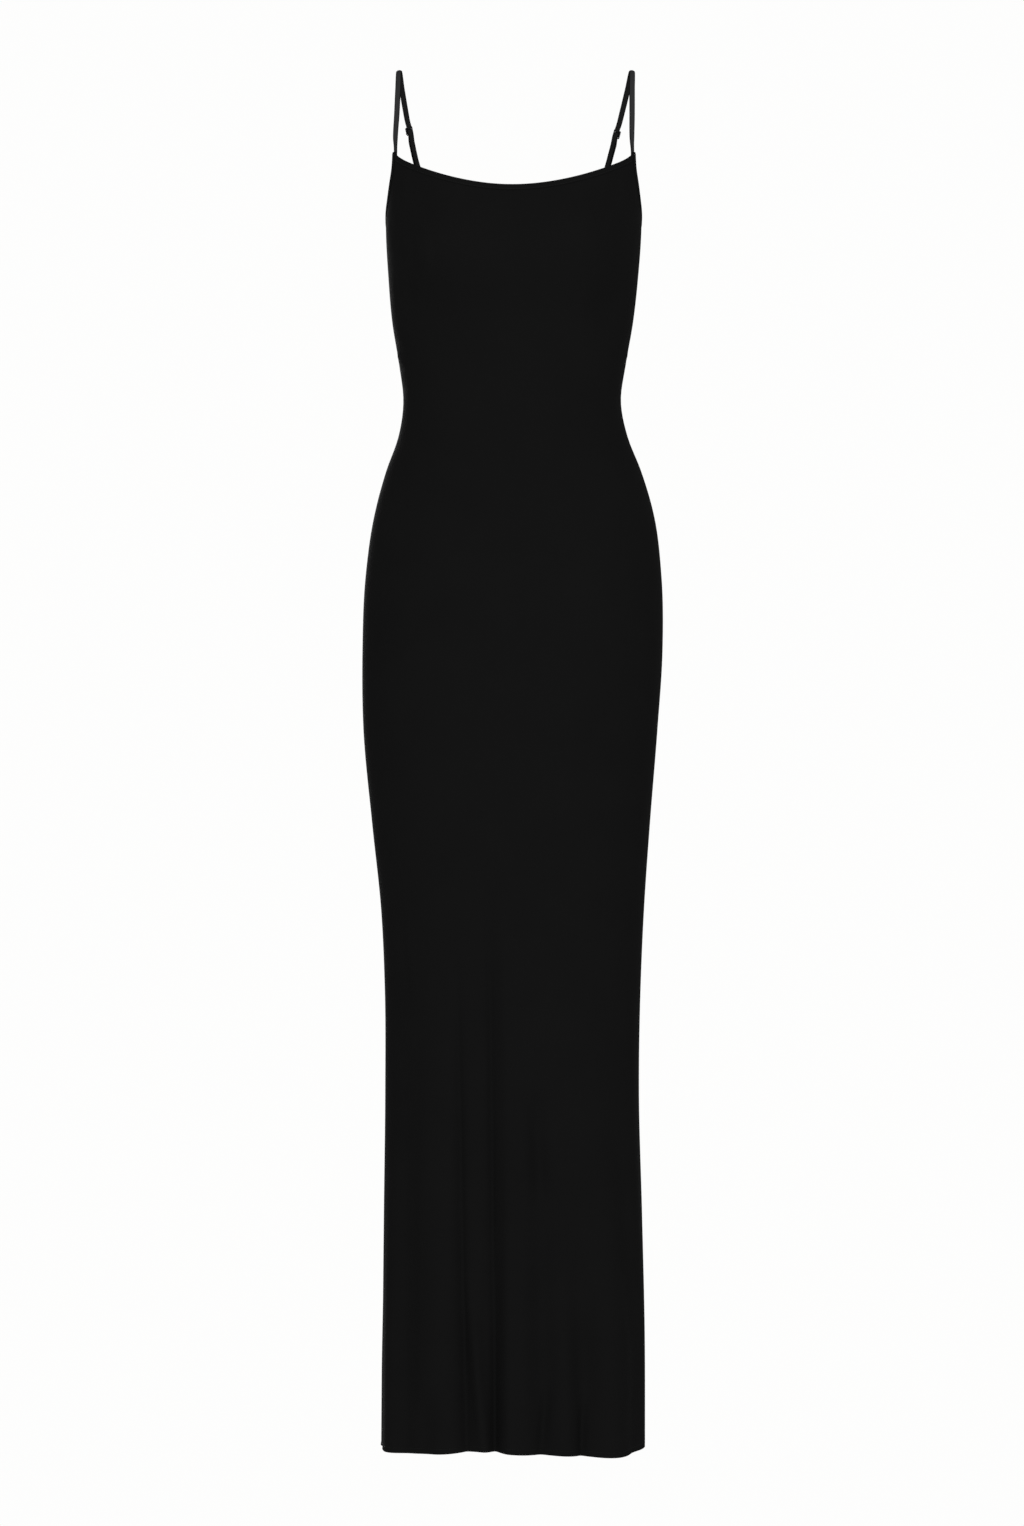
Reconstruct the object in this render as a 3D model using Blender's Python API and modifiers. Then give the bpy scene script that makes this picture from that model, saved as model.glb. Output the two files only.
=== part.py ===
"""A full-length slip dress in thin jersey, in the shape it takes when worn, with nobody in it.

Metres, +Z up. The front faces -Y and the wearer's left is +X. The origin lies midway between the two
places where the straps rest on the shoulders, level with their undersides.

The tables are in millimetres, and an angle in degrees runs round the body: 0 at the front centre,
90 at the wearer's left side seam, 180 at the back centre and -90 at the right side seam.
"""

import math
from typing import NamedTuple

import bmesh
import bpy
import numpy as np
from mathutils import Matrix, Vector

MM = 0.001

# Cloth and trims.
PANEL_WALL = 1.2
BINDING_WALL = 1.8
BINDING_WIDTH = 6.0
SEAM = 0.3
TUCK_GAP = 0.55
STRAP_WIDTH = 5.5
STRAP_WALL = 1.0
STRAP_TAIL = 8.5

# Neckline edges: the height at the centre, the height at the strap, and how the curve rises between them.
NECK_FRONT_CENTRE = -130.6
NECK_FRONT_STRAP = -95.4
NECK_FRONT_RISE = 2.17
NECK_BACK_CENTRE = -174.0
NECK_BACK_STRAP = -151.0
NECK_BACK_RISE = 2.0
STRAP_ANGLE_FRONT = 70.8
STRAP_ANGLE_BACK = 137.3

# Strap adjusters. A slider is a plate with two slots, and a ring is a bent wire with two straight bars.
SLIDER_WALL = 1.0
SLIDER_RAIL = 1.1
SLIDER_END_BAR = 1.0
SLIDER_MIDDLE_BAR = 0.9
SLIDER_SLOT = 2.9
SLIDER_SIDE_GAP = 0.35
SLIDER_CORNER = 1.5
SLOT_CORNER = 0.5
RING_WIRE = 0.6
RING_BAR = 5.9
RING_BEND = 2.2
RING_ABOVE_EDGE = 6.0

# How finely the shapes are divided.
NECK_FRONT_COLUMNS = 29
NECK_BACK_COLUMNS = 20
ARMHOLE_CORNER_COLUMNS = 2
ARMHOLE_FRONT_COLUMNS = 8
ARMHOLE_BACK_COLUMNS = 9
DOUBLED_STEPS = 6
SKIRT_ROW = 64.0
THIGH_ROW = 47.0
BODY_ROW = 27.0
KNEE = -1000.0
CROTCH = -700.0
FRONT_TOP_ROWS = 5
BACK_TOP_ROWS = 3
FRONT_LEVEL = -205.0
BACK_LEVEL = -225.0


class Section(NamedTuple):
    """A level cut through the dress: half widths to each side, depths to front and back."""

    height: float
    right: float
    left: float
    front: float
    back: float
    square: float


class Swell(NamedTuple):
    """A soft rise of the cloth over the figure, at a place on the front or back."""

    across: float
    height: float
    wide: float
    tall: float
    out: float


class Fold(NamedTuple):
    """A fold that runs up from the hem: its angle at the hem and where it fades, and its depth at the hem."""

    hem_angle: float
    fade_angle: float
    fade_height: float
    spread: float
    out: float


SECTIONS = (
    Section(-85, 130.5, 135.0, 66, 76, 2.3),
    Section(-125, 131.0, 135.2, 80, 83, 2.3),
    Section(-165, 132.0, 135.5, 88, 88, 2.3),
    Section(-215, 129.5, 132.2, 90, 86, 2.3),
    Section(-265, 125.2, 126.6, 86, 78, 2.3),
    Section(-309, 118.0, 118.9, 82, 70, 2.25),
    Section(-348, 113.7, 114.0, 81, 67, 2.2),
    Section(-385, 119.0, 121.2, 86, 72, 2.2),
    Section(-420, 131.5, 135.0, 92, 83, 2.2),
    Section(-466, 143.9, 148.5, 98, 97, 2.2),
    Section(-530, 153.2, 156.5, 100, 107, 2.2),
    Section(-610, 156.6, 157.6, 98, 108, 2.25),
    Section(-690, 155.6, 152.4, 96, 100, 2.3),
    Section(-790, 146.4, 144.4, 93, 90, 2.3),
    Section(-880, 137.0, 138.2, 89, 85, 2.3),
    Section(-965, 133.1, 134.5, 86, 82, 2.3),
    Section(-1070, 132.7, 132.9, 84, 81, 2.3),
    Section(-1200, 134.1, 136.2, 82, 82, 2.3),
    Section(-1330, 135.5, 139.3, 81, 83, 2.3),
    Section(-1450, 136.8, 139.6, 80, 84, 2.3),
)

FRONT_SWELLS = (
    Swell(-78, -188, 42, 40, 21),
    Swell(79, -188, 42, 40, 21),
    Swell(0, -188, 28, 42, 5),
    Swell(-84, -136, 22, 16, -2),
    Swell(86, -136, 22, 16, -2),
    Swell(0, -455, 50, 55, 4),
    Swell(0, -590, 30, 50, -3),
    Swell(-88, -560, 40, 60, 3),
    Swell(90, -560, 40, 60, 3),
    Swell(-62, -720, 40, 110, 3),
    Swell(64, -720, 40, 110, 3),
)

BACK_SWELLS = (
    Swell(-62, -195, 34, 50, 5),
    Swell(62, -195, 34, 50, 5),
    Swell(0, -290, 16, 95, -5),
    Swell(-66, -590, 46, 62, 14),
    Swell(66, -590, 46, 62, 14),
    Swell(-60, -705, 42, 45, -3),
    Swell(60, -705, 42, 45, -3),
)

FOLDS = (
    Fold(-67, -64, -1050, 7.0, 5),
    Fold(-49, -54, -860, 6.5, -9),
    Fold(-34.5, -33, -930, 7.5, 9),
    Fold(-21, -20, -1060, 4.8, -10),
    Fold(-14, -13, -1110, 4.0, 4),
    Fold(-6.5, -4, -880, 4.8, -14),
    Fold(3, 3, -820, 6.0, 10),
    Fold(13, 10, -1060, 5.0, -7),
    Fold(23, 20, -1100, 6.0, 5),
    Fold(33, 28, -1200, 5.0, -9),
    Fold(49, 42, -980, 8.5, 8),
    Fold(66, 52, -1040, 6.5, -8),
    Fold(104, 108, -1120, 7.0, -5),
    Fold(118, 121, -960, 7.5, 8),
    Fold(131, 134, -880, 6.0, -10),
    Fold(146, 146, -1020, 7.0, 8),
    Fold(159, 157, -850, 6.0, -11),
    Fold(174, 172, -900, 7.5, 9),
    Fold(-172, -171, -1080, 5.0, -8),
    Fold(-160, -162, -980, 7.0, 8),
    Fold(-147, -150, -830, 6.5, -12),
    Fold(-132, -133, -1000, 7.5, 9),
    Fold(-117, -121, -1060, 6.0, -8),
    Fold(-103, -106, -1150, 7.0, 4),
)
FOLD_RIPENS = 0.75

# The hem's height round the body, as (angle, height).
HEM = (
    (-180, -1441),
    (-130, -1445),
    (-90, -1447),
    (-60, -1444),
    (-35, -1441.5),
    (-12, -1438.5),
    (3, -1440.5),
    (23, -1443),
    (48, -1446.5),
    (66, -1445),
    (90, -1441.5),
    (130, -1443),
    (180, -1441),
)

# The finished edge of the left armhole, from the front strap round to the back one, as (angle, height).
ARMHOLE = (
    (72.3, -95.4),
    (73.6, -106),
    (77.6, -122),
    (84.0, -142),
    (92.5, -156),
    (105.0, -163),
    (121.0, -160.5),
    (137.3, -151),
)


class RoutePoint(NamedTuple):
    """A point on a strap's way over the shoulder. Facing is the outward side of the strap there."""

    right: float
    left: float
    y: float
    z: float
    facing: tuple


ROUTE = (
    RoutePoint(122.4, 126.3, -31.5, -76, (0.72, -0.69, 0.05)),
    RoutePoint(121.3, 126.3, -31.5, -50, (0.45, -0.88, 0.15)),
    RoutePoint(120.1, 126.3, -25, -24, (0.20, -0.75, 0.62)),
    RoutePoint(118.7, 126.3, 0, STRAP_WALL / 2, (0.10, 0.0, 1.0)),
    RoutePoint(116.3, 122.3, 29, -15, (0.15, 0.70, 0.70)),
    RoutePoint(109.2, 112.2, 51, -55, (0.30, 0.90, 0.30)),
    RoutePoint(103.3, 104.5, 62, -85, (0.42, 0.90, 0.12)),
)
SLIDER_HEIGHT = {"right": -56.2, "left": -59.4}
SIDES = {"right": -1, "left": 1}

CLOTH_COLOUR = (0.007, 0.007, 0.007, 1)
STRAP_COLOUR = (0.022, 0.022, 0.022, 1)
FITTING_COLOUR = (0.012, 0.012, 0.012, 1)


def hermite(places, values, at):
    """A smooth curve through the values at these rising places, read at one place."""
    places, values = np.asarray(places, float), np.asarray(values, float)
    slopes = np.gradient(values, places, axis=0)
    i = int(np.clip(np.searchsorted(places, at) - 1, 0, len(places) - 2))
    width = places[i + 1] - places[i]
    t = min(1.0, max(0.0, (at - places[i]) / width))
    start = values[i] * (1 + 2 * t) * (1 - t) ** 2 + slopes[i] * width * t * (1 - t) ** 2
    end = values[i + 1] * t * t * (3 - 2 * t) + slopes[i + 1] * width * t * t * (t - 1)
    return start + end


SECTION_ROWS = np.array(SECTIONS, float)[::-1]
HEM_ROWS = np.array(HEM, float)


def section_at(height):
    return Section(*hermite(SECTION_ROWS[:, 0], SECTION_ROWS, height))


def swell_at(across, height, swells):
    return sum(
        s.out * math.exp(-(((across - s.across) / s.wide) ** 2 + ((height - s.height) / s.tall) ** 2) / 2)
        for s in swells
    )


def fold_at(angle, height):
    total = 0.0
    for fold in FOLDS:
        length = FOLD_RIPENS * (fold.fade_height - HEM[0][1])
        ripe = min(1.0, max(0.0, (fold.fade_height - height) / length))
        centre = fold.fade_angle + (fold.hem_angle - fold.fade_angle) * ripe
        away = (angle - centre + 180) % 360 - 180
        total += fold.out * ripe * ripe * (3 - 2 * ripe) * math.exp(-((away / fold.spread) ** 2) / 2)
    return total


def outward(angle, height):
    """The level direction that points out of the figure, before swells and folds."""
    cut = section_at(height)
    s, c = math.sin(math.radians(angle)), math.cos(math.radians(angle))
    half = cut.left if s > 0 else cut.right
    depth = cut.front if c > 0 else cut.back
    share = max(0.0, 1 - abs(s) ** cut.square) ** (1 / cut.square)
    side = math.copysign(abs(s) ** (cut.square - 1) / half, s)
    face = math.copysign(share ** (cut.square - 1) / depth, -c)
    return Vector((side, face, 0)).normalized()


def cloth_point(angle, height, out=0.0):
    """The middle of the cloth wall at an angle and a height, in millimetres, moved out along the level normal."""
    cut = section_at(height)
    s, c = math.sin(math.radians(angle)), math.cos(math.radians(angle))
    half = cut.left if s > 0 else cut.right
    front = c > 0
    x = half * s
    y = (cut.front if front else cut.back) * max(0.0, 1 - abs(s) ** cut.square) ** (1 / cut.square)
    y += swell_at(x, height, FRONT_SWELLS if front else BACK_SWELLS) * (1 - abs(s) ** 6)
    point = Vector((x, -y if front else y, height))
    return point + outward(angle, height) * (fold_at(angle, height) + out)


def hem_height(angle):
    return float(hermite(HEM_ROWS[:, 0], HEM_ROWS[:, 1], angle))


def neck_height(angle):
    """The finished neckline edge at an angle between the straps."""
    front = abs(angle) < 90
    strap_angle = STRAP_ANGLE_FRONT if front else STRAP_ANGLE_BACK
    centre, strap, rise = (
        (NECK_FRONT_CENTRE, NECK_FRONT_STRAP, NECK_FRONT_RISE)
        if front
        else (NECK_BACK_CENTRE, NECK_BACK_STRAP, NECK_BACK_RISE)
    )
    share = abs(math.sin(math.radians(angle)) / math.sin(math.radians(strap_angle)))
    return centre + (strap - centre) * share**rise


def neck_drop(angle, width):
    """How far down a band of this width reaches below the sloping neckline."""
    step = 0.5
    before, after = cloth_point(angle - step, -140), cloth_point(angle + step, -140)
    run = (after - before).length
    rise = neck_height(angle + step) - neck_height(angle - step)
    return width * math.hypot(run, rise) / run


# Distances round the body at armhole height, to lay the binding at an even width.
ROUND_ANGLES = np.arange(0, 180.1, 0.5)
ROUND_POINTS = np.array([cloth_point(a, -140) for a in ROUND_ANGLES])
ROUND_LENGTHS = np.concatenate([[0], np.cumsum(np.linalg.norm(np.diff(ROUND_POINTS, axis=0), axis=1))])


ARMHOLE_ROWS = np.array(ARMHOLE, float)
ARMHOLE_FLAT = np.column_stack([np.interp(ARMHOLE_ROWS[:, 0], ROUND_ANGLES, ROUND_LENGTHS), ARMHOLE_ROWS[:, 1]])
ARMHOLE_PLACES = np.concatenate([[0], np.cumsum(np.linalg.norm(np.diff(ARMHOLE_FLAT, axis=0), axis=1))])
ARMHOLE_END = float(ARMHOLE_PLACES[-1])


def armhole_point(place, inset):
    """A place along the left armhole's edge, moved into the cloth by inset, as (angle, height)."""
    edge = hermite(ARMHOLE_PLACES, ARMHOLE_FLAT, place)
    if place <= 0:
        inward = np.array((-1, 0))
    elif place >= ARMHOLE_END:
        inward = np.array((0, -1))
    else:
        after = hermite(ARMHOLE_PLACES, ARMHOLE_FLAT, min(ARMHOLE_END, place + 0.5))
        along = after - hermite(ARMHOLE_PLACES, ARMHOLE_FLAT, max(0.0, place - 0.5))
        inward = np.array((along[1], -along[0])) / np.linalg.norm(along)
    moved = edge + inward * inset
    return float(np.interp(moved[0], ROUND_LENGTHS, ROUND_ANGLES)), float(moved[1])


PANEL_INSET = BINDING_WIDTH + SEAM
SEARCH = np.linspace(0.01, ARMHOLE_END - 0.01, 600)


def corner_place(width):
    """The place on the armhole where a line this far below the front neckline meets the panel's edge."""
    above = []
    for place in SEARCH[:100]:
        angle, height = armhole_point(place, PANEL_INSET)
        above.append(height - neck_height(angle) + neck_drop(angle, width))
    return float(np.interp(0, -np.array(above), SEARCH[:100]))


def seam_place():
    """The place on the armhole where the panel's edge crosses the side seam."""
    return float(np.interp(90, [armhole_point(place, PANEL_INSET)[0] for place in SEARCH], SEARCH))


CORNER = corner_place(PANEL_INSET)
UNDERARM = seam_place()
ARMHOLE_AT = np.concatenate(
    [
        np.linspace(0, CORNER, ARMHOLE_CORNER_COLUMNS + 1),
        np.linspace(CORNER, UNDERARM, ARMHOLE_FRONT_COLUMNS + 1)[1:],
        np.linspace(UNDERARM, ARMHOLE_END, ARMHOLE_BACK_COLUMNS + 1)[1:],
    ]
)


def front_columns():
    """(angle, top height) of each column of the front panel, from the right seam to the left."""
    peak = armhole_point(CORNER, PANEL_INSET)[0]
    neck = [peak * (2 * i / NECK_FRONT_COLUMNS - 1) for i in range(NECK_FRONT_COLUMNS + 1)]
    middle = [(a, neck_height(a) - neck_drop(a, PANEL_INSET)) for a in neck]
    side = [armhole_point(place, PANEL_INSET) for place in ARMHOLE_AT if CORNER < place <= UNDERARM]
    return [(-a, h) for a, h in reversed(side)] + middle + side


def back_columns():
    """(angle, top height) of each column of the back panel, from the left seam to the right."""
    side = [armhole_point(place, PANEL_INSET) for place in ARMHOLE_AT if UNDERARM <= place < ARMHOLE_END]
    span = 360 - 2 * STRAP_ANGLE_BACK
    neck = [STRAP_ANGLE_BACK + span * i / NECK_BACK_COLUMNS for i in range(NECK_BACK_COLUMNS + 1)]
    middle = [(a, neck_height(a) - neck_drop(a, PANEL_INSET)) for a in neck]
    return side + middle + [(360 - a, h) for a, h in reversed(side)]


def row_heights(hem, top, level, top_rows):
    """Heights of a column's points from the hem up. Rows are level below the given level and fan out above it."""
    low = np.arange(-1400, KNEE - 1, SKIRT_ROW)
    thigh = np.arange(KNEE, CROTCH - 1, THIGH_ROW)
    body = np.arange(CROTCH, level - BODY_ROW / 2, BODY_ROW)
    fan = np.linspace(level, top, top_rows + 1)
    return np.concatenate([[hem], low, thigh, body, fan])


def grid_object(name, columns, rows, point_of, wall, material):
    """A grid with each point put in place by point_of(column, row), in millimetres, given a wall."""
    shape = bmesh.new()
    bmesh.ops.create_grid(shape, x_segments=columns - 1, y_segments=rows - 1, size=1)
    for vertex in shape.verts:
        column = round((vertex.co.x + 1) / 2 * (columns - 1))
        row = round((vertex.co.y + 1) / 2 * (rows - 1))
        vertex.co = Vector(point_of(column, row)) * MM
    mesh = bpy.data.meshes.new(name)
    shape.to_mesh(mesh)
    shape.free()
    mesh.materials.append(material)
    mesh.shade_smooth()
    piece = bpy.data.objects.new(name, mesh)
    solid = piece.modifiers.new("wall", "SOLIDIFY")
    solid.thickness = wall * MM
    solid.offset = 0
    solid.use_even_offset = True
    return piece


def panel(name, columns, level, top_rows, material):
    """The front or back of the dress, from its neckline and armholes to the hem."""
    heights = [row_heights(hem_height((a + 180) % 360 - 180), top, level, top_rows) for a, top in columns]
    front = abs(columns[len(columns) // 2][0]) < 90

    def point_of(column, row):
        point = cloth_point(columns[column][0], heights[column][row])
        point.y = min(point.y, -SEAM / 2) if front else max(point.y, SEAM / 2)
        return point

    return grid_object(name, len(columns), len(heights[0]), point_of, PANEL_WALL, material)


def neck_binding_front(material):
    ends = [armhole_point(corner_place(width), PANEL_INSET)[0] for width in (BINDING_WIDTH, 0)]

    def point_of(column, row):
        angle = ends[row] * (2 * column / NECK_FRONT_COLUMNS - 1)
        drop = 0 if row else neck_drop(angle, BINDING_WIDTH)
        return cloth_point(angle, neck_height(angle) - drop)

    return grid_object("neck_binding_front", NECK_FRONT_COLUMNS + 1, 2, point_of, BINDING_WALL, material)


def neck_binding_back(material):
    first = STRAP_ANGLE_BACK + float(np.interp(SEAM, ROUND_LENGTHS, ROUND_ANGLES))
    span = 360 - 2 * first

    def point_of(column, row):
        angle = first + span * column / NECK_BACK_COLUMNS
        drop = 0 if row else neck_drop(angle, BINDING_WIDTH)
        return cloth_point(angle, neck_height(angle) - drop)

    return grid_object("neck_binding_back", NECK_BACK_COLUMNS + 1, 2, point_of, BINDING_WALL, material)


def armhole_binding(side, material):
    """The strip that finishes an armhole. It runs from the front strap under the arm to the back strap."""
    def point_of(column, row):
        angle, height = armhole_point(ARMHOLE_AT[column], 0 if row else BINDING_WIDTH)
        return cloth_point(SIDES[side] * angle, height)

    return grid_object(f"armhole_binding_{side}", len(ARMHOLE_AT), 2, point_of, BINDING_WALL, material)


class Frame(NamedTuple):
    """A place on a strap: its point, the way down the strap, the strap's outer side, and its width's way."""

    point: Vector
    down: Vector
    out: Vector
    across: Vector

    def at(self, along, away, wide=0.0):
        return self.point + self.down * along + self.out * away + self.across * wide


def frame_of(point, down, out):
    down = Vector(down).normalized()
    across = down.cross(Vector(out)).normalized()
    return Frame(Vector(point), down, across.cross(down), across)


class Route:
    """A strap's smooth way from behind the front binding, over the shoulder, to its ring at the back."""

    def __init__(self, side):
        sign = SIDES[side]
        tuck = -(BINDING_WALL / 2 + TUCK_GAP + STRAP_WALL / 2)
        top = NECK_FRONT_STRAP
        front = sign * STRAP_ANGLE_FRONT
        low = [cloth_point(front, top - STRAP_TAIL * share, tuck) for share in (1, 0.5, 0)]
        keys = [*low, *(Vector((sign * getattr(p, side), p.y, p.z)) for p in ROUTE)]
        faces = [outward(front, top)] * 3 + [Vector((sign * p.facing[0], *p.facing[1:])) for p in ROUTE]
        self.ring = self.ring_frame(sign)
        keys += [self.ring.at(-12, 0), self.ring.at(-6, 0), self.ring.at(-RING_BEND, 0)]
        faces += [self.ring.out] * 3
        keys = np.array(keys)
        self.lengths = np.concatenate([[0], np.cumsum(np.linalg.norm(np.diff(keys, axis=0), axis=1))])
        self.keys, self.faces = keys, np.array(faces)
        self.end = float(self.lengths[-1])
        self.slider_at = self.where(SLIDER_HEIGHT[side])
        self.slider = self.bare_frame(self.slider_at)

    @staticmethod
    def ring_frame(sign):
        """The frame of the ring's middle, above the back edge and in the plane of its tab."""
        angle = sign * STRAP_ANGLE_BACK
        tuck = -(BINDING_WALL / 2 + TUCK_GAP + STRAP_WALL + SEAM / 2)
        edge = NECK_BACK_STRAP
        upper, lower = cloth_point(angle, edge, tuck), cloth_point(angle, edge - STRAP_TAIL, tuck)
        down = (lower - upper).normalized()
        return frame_of(upper - down * RING_ABOVE_EDGE, down, outward(angle, edge))

    def where(self, height):
        """How far along the back of the route lies this height."""
        top = float(self.lengths[3 + 3])
        samples = np.linspace(top, self.end, 400)
        heights = [hermite(self.lengths, self.keys, s)[2] for s in samples]
        return float(np.interp(-height, -np.array(heights), samples))

    def bare_frame(self, at):
        step = 0.5
        before = hermite(self.lengths, self.keys, max(0.0, at - step))
        after = hermite(self.lengths, self.keys, min(self.end, at + step))
        point, face = hermite(self.lengths, self.keys, at), hermite(self.lengths, self.faces, at)
        return frame_of(point, Vector(after - before), face)

    def spot(self, at, away, wide):
        """The point of a strap at a distance along the route. It is straight through the slider and at the ring."""
        free = self.bare_frame(min(at, self.end)).at(max(0.0, at - self.end), away, wide)
        past = abs(at - self.slider_at)
        if past < 14:
            stiff = self.slider.at(at - self.slider_at, away, wide)
            share = min(1.0, max(0.0, (14 - past) / 7))
            free = free.lerp(stiff, share)
        if at > self.end - 8:
            stiff = self.ring.at(at - self.end - RING_BEND, away, wide)
            free = free.lerp(stiff, min(1.0, (at - self.end + 8) / 4))
        return free


def arc(centre, radius, start, stop, steps=4):
    """Points on an arc in a strap's (along, away) plane. At 0 degrees it points outward, at 90 down the strap."""
    return [
        (centre[0] + radius * math.sin(math.radians(a)), centre[1] + radius * math.cos(math.radians(a)))
        for a in np.linspace(start, stop, steps + 1)
    ]


def strap_path(route):
    """The strap's middle line as (along, away): over the shoulder, through the slider, round the ring and back."""
    half_bar = SLIDER_MIDDLE_BAR / 2
    slot_end = half_bar + SLIDER_SLOT
    plate = SLIDER_WALL / 2
    near = SEAM + STRAP_WALL / 2
    over = near + STRAP_WALL + SEAM
    behind = plate + near
    at = route.slider_at
    main = [(s, 0.0) for s in np.linspace(0, STRAP_TAIL, 3)]
    main += [(s, 0.0) for s in np.linspace(STRAP_TAIL + 8, at - 16, 24)]
    weave = [(-9, -0.4), (-6.5, -1.0), (-slot_end - SLIDER_END_BAR, -behind)]
    weave += arc((-slot_end, -plate), near, 180, 90)
    weave += arc((-half_bar, plate), over, 270, 360)
    weave += arc((half_bar, plate), over, 0, 90)
    weave += arc((slot_end, -plate), near, 270, 180)
    weave += [(slot_end + SLIDER_END_BAR, -behind)]
    turn = RING_WIRE + near
    run = np.linspace(at + slot_end + SLIDER_END_BAR + 8, route.end - 6, DOUBLED_STEPS)
    down = [(s, turn * 0.6) for s in run]
    down += arc((route.end, 0), turn, 0, 180, 6)
    down += [(s, -turn) for s in run[::-1]]
    under = -(behind + STRAP_WALL + SEAM)
    back = [(slot_end + SLIDER_END_BAR, under), (slot_end - 0.5, under)]
    back += [(half_bar + 0.4, -behind)]
    back += arc((-half_bar, -plate), near, 180, 270)
    back += arc((-half_bar, plate), near, 270, 360)
    back += [(half_bar, plate + near)]
    return [*main, *((at + a, n) for a, n in weave), *down, *((at + a, n) for a, n in back)]


def strap(side, route, material):
    path = strap_path(route)

    def point_of(column, row):
        along, away = path[column]
        return route.spot(along, away, STRAP_WIDTH * (row - 0.5))

    return grid_object(f"strap_{side}", len(path), 2, point_of, STRAP_WALL, material)


def ring_tab(side, route, material):
    """The short loop of strap that holds the ring. Both of its ends are sewn behind the back binding."""
    bar = RING_BEND
    turn = RING_WIRE + SEAM + STRAP_WALL / 2
    apart = (STRAP_WALL + SEAM) / 2
    low = RING_ABOVE_EDGE + STRAP_TAIL
    leg = [(low, apart), (bar + 5, apart), (bar + 2.5, apart + 0.3)]
    path = [*leg, *arc((bar, 0), turn, 360, 180, 6), *((a, -n) for a, n in reversed(leg))]

    def point_of(column, row):
        along, away = path[column]
        return route.ring.at(along, away, STRAP_WIDTH * (row - 0.5))

    return grid_object(f"ring_tab_{side}", len(path), 2, point_of, STRAP_WALL, material)


def rounded_box(width, height, radius, steps=3):
    """The corners of a rectangle with round corners, counter-clockwise about its middle."""
    points = []
    for quarter in range(4):
        sx, sy = ((1, 1), (-1, 1), (-1, -1), (1, -1))[quarter]
        centre = (sx * (width / 2 - radius), sy * (height / 2 - radius))
        for step in range(steps + 1):
            a = math.radians(90 * quarter + 90 * step / steps)
            points.append((centre[0] + radius * math.cos(a), centre[1] + radius * math.sin(a)))
    return points


def add_loop(curve, points):
    spline = curve.splines.new("POLY")
    spline.points.add(len(points) - 1)
    for target, (x, y) in zip(spline.points, points):
        target.co = (x * MM, y * MM, 0, 1)
    spline.use_cyclic_u = True


def placed(piece, frame):
    """Puts a flat piece, drawn in X across and Y up the strap, at a frame."""
    turn = Matrix((frame.across, -frame.down, frame.out)).transposed()
    piece.matrix_world = Matrix.Translation(frame.point * MM) @ turn.to_4x4()
    return piece


def slider(side, route, material):
    slot_width = STRAP_WIDTH + 2 * SLIDER_SIDE_GAP
    width = slot_width + 2 * SLIDER_RAIL
    height = SLIDER_MIDDLE_BAR + 2 * SLIDER_SLOT + 2 * SLIDER_END_BAR
    curve = bpy.data.curves.new(f"slider_{side}", "CURVE")
    curve.dimensions = "2D"
    curve.fill_mode = "BOTH"
    curve.extrude = SLIDER_WALL / 2 * MM
    add_loop(curve, rounded_box(width, height, SLIDER_CORNER))
    middle = (SLIDER_MIDDLE_BAR + SLIDER_SLOT) / 2
    for up in (-middle, middle):
        add_loop(curve, [(x, y + up) for x, y in rounded_box(slot_width, SLIDER_SLOT, SLOT_CORNER, 2)])
    curve.materials.append(material)
    return placed(bpy.data.objects.new(f"slider_{side}", curve), route.slider)


def ring(side, route, material):
    curve = bpy.data.curves.new(f"ring_{side}", "CURVE")
    curve.dimensions = "3D"
    curve.bevel_depth = RING_WIRE * MM
    curve.bevel_resolution = 2
    add_loop(curve, rounded_box(RING_BAR + 2 * RING_BEND, 2 * RING_BEND, RING_BEND, 5))
    curve.materials.append(material)
    return placed(bpy.data.objects.new(f"ring_{side}", curve), route.ring)


def finish(name, colour, roughness, metallic=0.0):
    material = bpy.data.materials.new(name)
    material.use_nodes = True
    shader = material.node_tree.nodes["Principled BSDF"]
    shader.inputs["Base Color"].default_value = colour
    shader.inputs["Roughness"].default_value = roughness
    shader.inputs["Metallic"].default_value = metallic
    material.diffuse_color = colour
    return material


def main():
    for old in list(bpy.data.objects):
        bpy.data.objects.remove(old)
    dress = bpy.data.collections.new("slip_dress")
    bpy.context.scene.collection.children.link(dress)
    jersey = finish("black_jersey", CLOTH_COLOUR, 0.85)
    webbing = finish("strap_webbing", STRAP_COLOUR, 0.55)
    coated = finish("coated_metal", FITTING_COLOUR, 0.35, 0.6)
    pieces = [
        panel("front_panel", front_columns(), FRONT_LEVEL, FRONT_TOP_ROWS, jersey),
        panel("back_panel", back_columns(), BACK_LEVEL, BACK_TOP_ROWS, jersey),
        neck_binding_front(jersey),
        neck_binding_back(jersey),
    ]
    for side in SIDES:
        route = Route(side)
        pieces += [
            armhole_binding(side, jersey),
            strap(side, route, webbing),
            slider(side, route, coated),
            ring(side, route, coated),
            ring_tab(side, route, webbing),
        ]
    for piece in pieces:
        dress.objects.link(piece)


main()
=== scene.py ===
"""A full-length slip dress in thin black jersey, finished in its cloth, trims and fittings.

The scene is in metres, +Z up. The front faces -Y and the wearer's left is +X. The tables are in
millimetres. An angle, in degrees, runs round the body: 0 at the front centre, 90 at the wearer's
left side seam, 180 at the back centre and -90 at the right side seam.
"""

import logging
import math
from dataclasses import dataclass
from enum import Enum
from typing import Callable, NamedTuple, Sequence

import bpy
import numpy as np
from bpy.types import Material, MeshEdge, MeshPolygon, Node, NodeSocket, Object
from mathutils import Matrix, Vector
from numpy import ndarray as Array


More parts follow.
